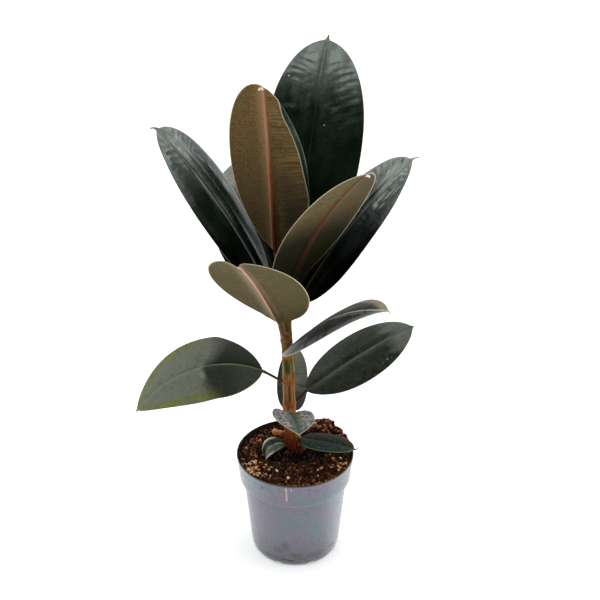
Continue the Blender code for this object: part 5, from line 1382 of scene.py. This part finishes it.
def inner_radius(z):
    top = POT_HEIGHT - COLLAR_H
    zs = [FLOOR, 0.60, FOOT_H + 0.10, top - STEP_H - 0.05, top, top + 0.10, POT_HEIGHT - 0.12, POT_HEIGHT + 2.0]
    rs = [FOOT_R - 0.22, BODY_LOW_R - 0.19, BODY_LOW_R - WALL, STEP_R - WALL, COLLAR_LOW_R - 0.24, COLLAR_LOW_R - WALL, RIM_R - WALL - 0.04, RIM_R - WALL - 0.04]
    return np.interp(z, zs, rs)


def crumbly(x, y):
    """Small relief of loose peat."""
    h = 0.16 * fbm(x * 1.5, y * 1.5, 0.0, 101, 3)
    h = h + 0.10 * np.abs(fbm(x * 4.2, y * 4.2, 0.0, 131, 3)) + 0.05 * noise3(x * 11, y * 11, 0.0, 151)
    return h


def peat_look(name, bright=1.0):
    k = Look(name, IOR=1.40)
    k.bsdf.inputs["Specular IOR Level"].default_value = 0.12
    v = k.coordinates()
    big = k.noise(v, 0.9, 4.0, 0.6)
    lumps = k.noise(v, 4.5, 5.0, 0.65)
    fine = k.noise(v, 13.0, 4.0, 0.7)
    b = bright
    colour = k.ramp(lumps, [(0.30, (0.006 * b, 0.0035 * b, 0.0022 * b)), (0.46, (0.034 * b, 0.012 * b, 0.0060 * b)), (0.58, (0.085 * b, 0.029 * b, 0.013 * b)), (0.72, (0.19 * b, 0.066 * b, 0.028 * b))])
    colour = k.mix(k.mul(k.step(big, 0.52, 0.72), 0.4), colour, (0.090 * b, 0.024 * b, 0.012 * b))
    shadow = k.step(k.add(k.distance(k.stretch(v, 0.62, 1.0, 0.05), (-0.1, 0.05, 0.55)), k.mul(k.sub(big, 0.5), 1.5)), 2.0, 0.8)
    colour = k.mix(k.mul(shadow, 0.85), colour, (0.006, 0.004, 0.003))
    colour = k.mix(k.mul(k.step(fine, 0.62, 0.74), 0.8), colour, (0.26 * b, 0.115 * b, 0.042 * b))
    colour = k.mix(k.mul(k.step(fine, 0.40, 0.28), 0.7), colour, (0.004, 0.003, 0.002))
    height = k.add(k.mul(lumps, 0.8), k.mul(fine, 0.7))
    return k.finish(colour, 0.85, k.bump(height, 0.9, 0.0018))


def build_soil():
    m, rows = 300, 110
    a = np.linspace(0, 2 * math.pi, m, endpoint=False)
    ca, sa = np.cos(a), np.sin(a)
    c0 = np.array([-0.43, 1.60])
    edge_r = np.full(m, RIM_R - WALL - 0.10)
    for _ in range(3):
        h = np.minimum(soil_height(edge_r * ca, edge_r * sa), POT_HEIGHT + 0.25)
        edge_r = inner_radius(h) - 0.01
    ex, ey = edge_r * ca, edge_r * sa
    f = np.linspace(0, 1, rows)[:, None]
    px, py = c0[0] + 0.35 * ca, c0[1] + 0.35 * sa
    x, y = ex + (px - ex) * f, ey + (py - ey) * f
    near_wall = smooth(f / 0.06)
    z = soil_height(x, y) + crumbly(x, y) * (0.35 + 0.65 * near_wall)
    z = np.where(f < 0.02, np.minimum(z, POT_HEIGHT + 0.10), z)
    top_ring = np.stack([x, y, z], -1)
    # the wall of the root ball, hidden in the pot and shown through the drainage slots
    lows = []
    for zz in (z[0].min() - 0.6, 8.0, 5.0, 1.4, 0.62, FLOOR + 0.03):
        rr = inner_radius(zz) - 0.02
        lows.append(np.stack([rr * ca, rr * sa, np.full(m, zz)], -1))
    lows.append(np.stack([0.5 * ca, 0.5 * sa, np.full(m, FLOOR + 0.02)], -1))
    rings = np.concatenate([np.array(lows[::-1]), top_ring])
    k = len(rings)
    verts = rings.reshape(-1, 3)
    faces = ring_quads(k, m).tolist()
    verts = np.vstack([verts, [0, 0, FLOOR + 0.02], [c0[0], c0[1], rings[-1, :, 2].mean()]])
    faces += [(k * m, (j + 1) % m, j) for j in range(m)]
    faces += [(k * m + 1, (k - 1) * m + j, (k - 1) * m + (j + 1) % m) for j in range(m)]
    return new_piece("peat_surface", verts, faces, [peat_look("peat")], replaces="potting_soil")


def ico(subdivide):
    g = (1 + 5 ** 0.5) / 2
    v = [(-1, g, 0), (1, g, 0), (-1, -g, 0), (1, -g, 0), (0, -1, g), (0, 1, g), (0, -1, -g), (0, 1, -g), (g, 0, -1), (g, 0, 1), (-g, 0, -1), (-g, 0, 1)]
    f = [(0, 11, 5), (0, 5, 1), (0, 1, 7), (0, 7, 10), (0, 10, 11), (1, 5, 9), (5, 11, 4), (11, 10, 2), (10, 7, 6), (7, 1, 8),
         (3, 9, 4), (3, 4, 2), (3, 2, 6), (3, 6, 8), (3, 8, 9), (4, 9, 5), (2, 4, 11), (6, 2, 10), (8, 6, 7), (9, 8, 1)]
    v = [np.array(p, float) / np.linalg.norm(p) for p in v]
    for _ in range(subdivide):
        cache, nf = {}, []

        def middle(a, b):
            key = (min(a, b), max(a, b))
            if key not in cache:
                p = v[a] + v[b]
                v.append(p / np.linalg.norm(p))
                cache[key] = len(v) - 1
            return cache[key]

        for a, b, c in f:
            ab, bc, ca_ = middle(a, b), middle(b, c), middle(c, a)
            nf += [(a, ab, ca_), (b, bc, ab), (c, ca_, bc), (ab, bc, ca_)]
        f = nf
    return np.array(v), np.array(f)


def rotations(n):
    q = rng.normal(size=(n, 4))
    q /= np.linalg.norm(q, axis=1)[:, None]
    w, x, y, z = q.T
    return np.stack([np.stack([1 - 2 * (y * y + z * z), 2 * (x * y - z * w), 2 * (x * z + y * w)], -1),
                     np.stack([2 * (x * y + z * w), 1 - 2 * (x * x + z * z), 2 * (y * z - x * w)], -1),
                     np.stack([2 * (x * z - y * w), 2 * (y * z + x * w), 1 - 2 * (x * x + y * y)], -1)], 1)


def scatter(name, places, sizes, tones, mats, detail=0, rough=0.35, stretch=(0.55, 1.6)):
    """One mesh of many lumps."""
    n = len(places)
    base_v, base_f = ico(detail)
    turn = rotations(n)
    shape = rng.uniform(stretch[0], stretch[1], size=(n, 3))
    lump = 1 + rough * rng.uniform(-1, 1, size=(n, len(base_v)))
    v = base_v[None] * lump[..., None] * shape[:, None] * np.asarray(sizes)[:, None, None]
    v = np.einsum("nij,nkj->nki", turn, v) + np.asarray(places)[:, None]
    f = base_f[None] + (np.arange(n) * len(base_v))[:, None, None]
    tone = np.repeat(np.asarray(tones), len(base_v))
    return new_piece(name, v.reshape(-1, 3), f.reshape(-1, 3).tolist(), mats, attributes={"tone": tone})


def lump_look(name, stops, rough=0.8, bump=0.8):
    k = Look(name, IOR=1.42)
    k.bsdf.inputs["Specular IOR Level"].default_value = 0.15
    v = k.coordinates()
    tone = k.attribute("tone").outputs["Fac"]
    grit = k.noise(v, 14.0, 4.0, 0.7)
    colour = k.ramp(k.add(tone, k.mul(k.sub(grit, 0.5), 0.30)), stops)
    return k.finish(colour, rough, k.bump(grit, bump, 0.0010))


def in_pot(n, limit=5.75):
    r = limit * np.sqrt(rng.uniform(0, 1, n))
    a = rng.uniform(0, 2 * math.pi, n)
    return r * np.cos(a), r * np.sin(a)


def clear_of_stem(x, y, r=0.95):
    return np.hypot(x + 0.43, y - 1.60) > r


def shade_of(x, y):
    """Painted shadow on the peat in front of the stem, under the small leaves."""
    return np.exp(-(((x + 0.2) / 2.5) ** 2 + ((y - 0.1) / 1.3) ** 2) ** 1.5)


def build_crumbs():
    peat_stops = [(0.0, (0.005, 0.0030, 0.0022)), (0.22, (0.030, 0.010, 0.005)), (0.42, (0.090, 0.028, 0.011)), (0.62, (0.21, 0.066, 0.024)), (0.80, (0.38, 0.160, 0.055)), (1.0, (0.62, 0.38, 0.17))]
    crumb = lump_look("peat_crumb", peat_stops)
    # the fine crumbs
    x, y = in_pot(4200, 5.80)
    keep = clear_of_stem(x, y, 0.80) & (np.hypot(x, y) < inner_radius(soil_height(x, y)) - 0.10)
    x, y = x[keep], y[keep]
    size = rng.uniform(0.040, 0.110, len(x))
    z = soil_height(x, y) + crumbly(x, y) + size * 0.35
    tone = np.clip(rng.beta(0.50, 1.50, len(x)) + 0.26 * noise3(x * 1.1, y * 1.1, 0, 171), 0, 1)
    # golden dust lies thicker at the left front and the right front
    gold = np.exp(-(((x + 4.2) / 1.5) ** 2 + ((y + 2.6) / 1.6) ** 2)) + 0.5 * np.exp(-(((x - 4.9) / 0.8) ** 2 + ((y + 2.3) / 1.5) ** 2))
    tone = np.clip(tone + gold * rng.uniform(-0.1, 0.55, len(x)), 0, 1)
    tone = np.clip(tone - 0.95 * shade_of(x, y), 0, 1)
    scatter("peat_fine_crumbs", np.stack([x, y, z], -1), size, tone, [crumb])

    # clods
    x, y = in_pot(900, 5.65)
    keep = clear_of_stem(x, y, 1.0) & (np.hypot(x, y) < inner_radius(soil_height(x, y)) - 0.20)
    x, y = x[keep], y[keep]
    size = rng.uniform(0.08, 0.17, len(x))
    mound = np.exp(-(((x - 3.0) / 2.0) ** 2 + ((y - 3.7) / 1.6) ** 2))
    size = size * (1 + 0.5 * mound)
    z = soil_height(x, y) + crumbly(x, y) + size * 0.25
    tone = np.clip(rng.beta(0.8, 2.2, len(x)) * 0.85 + 0.10 * mound - 0.8 * shade_of(x, y), 0, 1)
    scatter("peat_clods", np.stack([x, y, z], -1), size, tone, [crumb], detail=1, rough=0.28)

    red_crumb = lump_look("peat_red", [(0.0, (0.010, 0.003, 0.002)), (0.28, (0.075, 0.014, 0.010)), (0.58, (0.215, 0.046, 0.030)), (0.84, (0.40, 0.135, 0.070)), (1.0, (0.60, 0.36, 0.20))])
    # the heap at the back right: loose reddish lumps that stand above the lip
    n = 330
    x = rng.normal(3.0, 1.15, n)
    y = rng.normal(3.75, 0.75, n)
    keep = np.hypot(x, y) < 5.62
    x, y = x[keep], y[keep]
    size = rng.uniform(0.06, 0.21, len(x))
    z = soil_height(x, y) + rng.uniform(0.00, 0.40, len(x)) * np.exp(-(((x - 3.1) / 1.6) ** 2))
    tone = np.clip(rng.beta(0.50, 0.55, len(x)), 0, 1)
    scatter("peat_heap", np.stack([x, y, z], -1), size, tone, [red_crumb], detail=1, rough=0.45, stretch=(0.40, 1.5))

    # the heap runs on along the lip to the right
    n = 420
    a = rng.uniform(20, 64, n) * RAD
    r = rng.uniform(5.05, 5.86, n)
    size = rng.uniform(0.07, 0.22, n)
    tall = 0.22 + 0.70 * np.exp(-((a / RAD - 54) / 9) ** 2) + 0.50 * np.exp(-((a / RAD - 34) / 4) ** 2)
    z = POT_HEIGHT - 0.06 + rng.uniform(-0.15, 1.0, n) * tall * (1 - 0.35 * (r - 5.05))
    tone = np.clip(rng.beta(0.6, 0.8, n), 0, 1)
    scatter("peat_lip", np.stack([r * np.cos(a), r * np.sin(a), z], -1), size, tone, [red_crumb], detail=1, rough=0.40, stretch=(0.5, 1.5))

    # reddish clods and bark flakes at the foot of the stem
    n = 46
    a = rng.uniform(-150, 10, n) * RAD
    r = rng.uniform(0.85, 1.75, n)
    x, y = -0.43 + r * np.cos(a), 1.60 + r * np.sin(a)
    size = rng.uniform(0.08, 0.22, n)
    z = soil_height(x, y) + crumbly(x, y) + size * 0.5
    scatter("bark_flakes", np.stack([x, y, z], -1), size, np.clip(rng.beta(1.2, 1.6, n), 0, 0.72), [red_crumb], detail=1, rough=0.38, stretch=(0.4, 1.6))

    # a tuft of pinkish fibre clods at the left
    n = 60
    x, y = rng.normal(-4.25, 0.42, n), rng.normal(1.6, 0.75, n)
    keep = np.hypot(x, y) < 5.15
    x, y = x[keep], y[keep]
    size = rng.uniform(0.06, 0.16, len(x))
    z = soil_height(x, y) + crumbly(x, y) + rng.uniform(0.0, 0.22, len(x))
    tuft = lump_look("peat_tuft", [(0.0, (0.05, 0.010, 0.007)), (0.4, (0.24, 0.055, 0.034)), (1.0, (0.56, 0.25, 0.17))])
    scatter("peat_tuft", np.stack([x, y, z], -1), size, rng.uniform(0.1, 0.95, len(x)), [tuft], detail=1, rough=0.34)

    # crumbs pushed over the lip at the front right, and a few along the front
    a = np.concatenate([rng.normal(-62, 16, 120), rng.normal(-30, 9, 60), rng.normal(-88, 9, 80), rng.uniform(-160, -20, 60), rng.uniform(20, 75, 40)]) * RAD
    r = rng.uniform(5.45, 6.00, len(a))
    size = rng.uniform(0.035, 0.085, len(a))
    x, y = r * np.cos(a), r * np.sin(a)
    z = np.where(r > 5.82, POT_HEIGHT + size * 0.5, np.maximum(soil_height(x, y) + 0.10, POT_HEIGHT - 0.18) + size * 0.4)
    scatter("peat_spill", np.stack([x, y, z], -1), size, np.clip(rng.beta(2.0, 2.0, len(a)), 0, 1), [crumb])

    # perlite and pale grains
    pale = lump_look("perlite", [(0.0, (0.55, 0.20, 0.055)), (0.40, (0.88, 0.46, 0.16)), (0.70, (0.95, 0.72, 0.42)), (1.0, (0.98, 0.94, 0.86))], 0.7, 0.6)
    gx = np.concatenate([rng.normal(-4.35, 0.60, 70), rng.normal(-3.3, 0.8, 22), rng.normal(4.75, 0.42, 34), rng.uniform(-4.5, 4.8, 12), rng.normal(-4.2, 0.35, 8), rng.normal(2.9, 1.0, 9)])
    gy = np.concatenate([rng.normal(-2.45, 0.70, 70), rng.normal(-3.4, 0.55, 22), rng.normal(-2.0, 0.85, 34), rng.uniform(-5.0, -2.4, 12), rng.normal(2.3, 0.7, 8), rng.normal(3.9, 0.6, 9)])
    keep = (np.hypot(gx, gy) < inner_radius(soil_height(gx, gy)) - 0.12) & clear_of_stem(gx, gy)
    gx, gy = gx[keep], gy[keep]
    size = rng.uniform(0.050, 0.155, len(gx))
    gz = soil_height(gx, gy) + crumbly(gx, gy) + size * 0.75
    scatter("perlite_grains", np.stack([gx, gy, gz], -1), size, rng.beta(1.3, 1.5, len(gx)), [pale], detail=1, rough=0.22, stretch=(0.7, 1.25))

    # specks of peat that stick to the outside of the pot
    specks = [(-3.30, 10.35, 0.05), (-3.45, 7.9, 0.045), (5.35, 9.9, 0.055), (3.9, 1.45, 0.04), (-1.5, 10.9, 0.03), (1.4, 10.75, 0.035), (2.1, 10.4, 0.028), (2.9, 3.2, 0.025)]
    pos = []
    for x, z, s in specks:
        r = np.interp(z, [0.95, 8.3, 8.66, 11.0], [4.64, 5.31, 5.72, 5.97])
        pos.append((x, -math.sqrt(max(r * r - x * x, 0.01)), z))
    scatter("peat_specks", np.array(pos), np.array([s for _, _, s in specks]), np.full(len(specks), 0.12), [crumb], detail=1, rough=0.25, stretch=(0.6, 1.2))


def build_fibres():
    strand = lump_look("peat_fibre", [(0.0, (0.045, 0.020, 0.010)), (0.4, (0.14, 0.060, 0.025)), (0.75, (0.32, 0.19, 0.075)), (1.0, (0.50, 0.36, 0.17))], 0.7, 0.3)
    verts, faces, tones = [], [], []
    count = 0
    x, y = in_pot(330, 5.3)
    for i in range(len(x)):
        if not clear_of_stem(x[i], y[i], 1.1):
            continue
        length = rng.uniform(0.3, 1.3)
        a0, turn = rng.uniform(0, 2 * math.pi), rng.uniform(-2.2, 2.2)
        s = np.linspace(0, 1, 9)
        px = x[i] + np.cumsum(np.cos(a0 + turn * s)) * length / 9
        py = y[i] + np.cumsum(np.sin(a0 + turn * s)) * length / 9
        over = np.hypot(px, py) > inner_radius(soil_height(px, py)) - 0.08
        if over.any():
            continue
        lift = rng.uniform(0.0, 0.16)
        pz = soil_height(px, py) + crumbly(px, py) + 0.05 + lift * np.sin(math.pi * s)
        radius = rng.uniform(0.008, 0.022)
        tv, tf = tube(np.stack([px, py, pz], -1), radius * (1 - 0.5 * s), 5)
        verts.append(tv)
        faces += [tuple(j + count for j in f) for f in tf]
        count += len(tv)
        tones.append(np.full(len(tv), np.clip(rng.beta(1.5, 1.7), 0, 1)))
    new_piece("peat_fibres", np.vstack(verts), faces, [strand], attributes={"tone": np.concatenate(tones)})

    # the short dark stick that stands in the heap, and a few bits of bark beside it
    bark = lump_look("dark_twig", [(0.0, (0.012, 0.007, 0.005)), (0.6, (0.05, 0.022, 0.012)), (1.0, (0.12, 0.06, 0.03))], 0.75, 1.0)
    verts, faces, tones, count = [], [], [], 0
    sticks = [((3.95, 3.75, 11.55), (4.02, 3.72, 12.55), 0.13), ((3.1, 3.9, 12.0), (2.75, 3.8, 12.55), 0.07), ((4.85, 1.9, 11.2), (4.95, 1.75, 11.75), 0.08),
              ((-4.6, 2.6, 10.4), (-3.9, 3.2, 10.75), 0.07), ((2.0, -3.4, 11.1), (3.1, -3.7, 11.2), 0.06), ((-2.6, -4.4, 11.05), (-1.7, -4.1, 11.2), 0.05)]
    for a, b, r in sticks:
        s = np.linspace(0, 1, 10)[:, None]
        path = np.array(a) * (1 - s) + np.array(b) * s
        path = path + 0.05 * np.stack([noise3(s[:, 0] * 3, r * 50, 1, 201), noise3(s[:, 0] * 3, r * 50, 2, 202), np.zeros(10)], -1)
        tv, tf = tube(path, r * (1 + 0.25 * noise3(s[:, 0] * 5, r * 30, 0, 203)), 10)
        tv = tv + 0.02 * np.stack([noise3(tv[:, 0] * 9, tv[:, 1] * 9, tv[:, 2] * 9, 205)] * 3, -1)
        verts.append(tv)
        faces += [tuple(j + count for j in f) for f in tf]
        count += len(tv)
        tones.append(np.full(len(tv), 0.35))
    new_piece("bark_bits", np.vstack(verts), faces, [bark], attributes={"tone": np.concatenate(tones)})


build_soil()
build_crumbs()
build_fibres()


# ================================================================ stage, light, camera
def build_stage():
    mesh = bpy.data.meshes.new("floor")
    s = 6.0
    mesh.from_pydata([(-s, -s, -0.0004), (s, -s, -0.0004), (s, s, -0.0004), (-s, s, -0.0004)], [], [(0, 1, 2, 3)])
    k = Look("floor_white", Roughness=0.9)
    v = k.coordinates()
    k.finish(k.mix(k.noise(v, 0.02, 2.0), (0.90, 0.90, 0.90), (0.92, 0.92, 0.92)), 0.9)
    k.bsdf.inputs["Emission Color"].default_value = (1, 1, 1, 1)
    k.bsdf.inputs["Emission Strength"].default_value = 0.33
    mesh.materials.append(k.mat)
    floor = bpy.data.objects.new("floor", mesh)
    bpy.context.scene.collection.objects.link(floor)


def area(name, where, aim, size, power, colour=(1, 1, 1)):
    data = bpy.data.lights.new(name, "AREA")
    data.shape = "RECTANGLE"
    data.size, data.size_y = size
    data.energy = power
    data.color = colour
    ob = bpy.data.objects.new(name, data)
    bpy.context.scene.collection.objects.link(ob)
    ob.location = where
    from mathutils import Vector
    ob.rotation_euler = (Vector(aim) - Vector(where)).to_track_quat("-Z", "Y").to_euler()
    ob.visible_glossy = False
    return ob


def build_light():
    world = bpy.data.worlds.new("studio")
    bpy.context.scene.world = world
    world.use_nodes = True
    nt = world.node_tree
    nt.nodes.clear()
    out = nt.nodes.new("ShaderNodeOutputWorld")
    bg = nt.nodes.new("ShaderNodeBackground")
    nt.links.new(bg.outputs[0], out.inputs[0])
    tc = nt.nodes.new("ShaderNodeTexCoord")

    def facing(direction, lo, hi, a, b):
        """Strength a away from a direction, b towards it."""
        dot = nt.nodes.new("ShaderNodeVectorMath")
        dot.operation = "DOT_PRODUCT"
        nt.links.new(tc.outputs["Generated"], dot.inputs[0])
        dot.inputs[1].default_value = direction
        ramp = nt.nodes.new("ShaderNodeMapRange")
        ramp.interpolation_type = "SMOOTHSTEP"
        nt.links.new(dot.outputs["Value"], ramp.inputs[0])
        for i, v in ((1, lo), (2, hi), (3, a), (4, b)):
            ramp.inputs[i].default_value = v
        return ramp.outputs[0]

    def sum_up(op, a, b):
        n = nt.nodes.new("ShaderNodeMath")
        n.operation = op
        for i, value in enumerate((a, b)):
            if isinstance(value, float):
                n.inputs[i].default_value = value
            else:
                nt.links.new(value, n.inputs[i])
        return n.outputs[0]

    def choose(flag, a, b):
        n = nt.nodes.new("ShaderNodeMix")
        nt.links.new(flag, n.inputs[0])
        nt.links.new(a, n.inputs[2])
        if isinstance(b, float):
            n.inputs[3].default_value = b
        else:
            nt.links.new(b, n.inputs[3])
        return n.outputs[0]

    lp = nt.nodes.new("ShaderNodeLightPath")
    near, high, back = (0.0, -0.954, 0.301), (0.0, 0.0, 1.0), (0.0, 1.0, 0.0)
    # diffuse light: the room on the near side is darker than the white sweep
    soft = facing(near, 0.05, 0.80, 1.02, 0.42)
    # what the waxy leaves mirror: the sweep behind, a band of soft boxes at both sides, a box at the upper left front
    sweep = sum_up("MULTIPLY", facing(near, -0.10, 0.55, 1.0, 0.04), facing(back, 0.35, 0.85, 0.30, 1.0))
    sweep = sum_up("MULTIPLY", sweep, facing(high, 0.60, 0.80, 1.0, 0.8))
    band = sum_up("MULTIPLY", facing(high, 0.30, 0.48, 0.0, 3.3), facing(high, 0.58, 0.70, 1.0, 0.05))
    band = sum_up("MULTIPLY", band, facing(near, -0.10, 0.30, 1.0, 0.0))
    box = facing((-0.28, -0.46, 0.843), 0.925, 0.980, 0.0, 4.5)
    window = sum_up("ADD", facing((0.80, -0.40, 0.45), 0.95, 0.99, 0.0, 3.5), facing((-0.74, 0.05, 0.67), 0.94, 0.985, 0.0, 1.3))
    shine = sum_up("ADD", sum_up("ADD", sweep, band), sum_up("ADD", box, window))
    strength = choose(lp.outputs["Is Camera Ray"], choose(lp.outputs["Is Glossy Ray"], soft, shine), 1.0)
    nt.links.new(strength, bg.inputs["Strength"])
    bg.inputs["Color"].default_value = (0.985, 1.0, 1.0, 1)
    world.cycles.sampling_method = "NONE"
    area("key", (-0.9, -0.5, 1.9), (0, 0, 0.25), (1.2, 1.2), 9.0)
    area("top", (0.1, 0.5, 2.2), (0, 0, 0.25), (1.6, 1.6), 9.0)
    area("right", (1.4, -0.3, 0.9), (0, 0, 0.10), (0.9, 0.9), 5.0)


def build_camera():
    cam = bpy.data.cameras.new("camera")
    cam.lens = 63.50
    cam.sensor_width = 36.0
    ob = bpy.data.objects.new("camera", cam)
    bpy.context.scene.collection.objects.link(ob)
    ob.location = (0.005009, -0.8977, 0.74871)
    ob.rotation_euler = (62.832 * RAD, 0, 0)
    bpy.context.scene.camera = ob


build_stage()
build_light()
build_camera()
bpy.context.scene.view_settings.view_transform = "Standard"
bpy.context.scene.view_settings.look = "None"
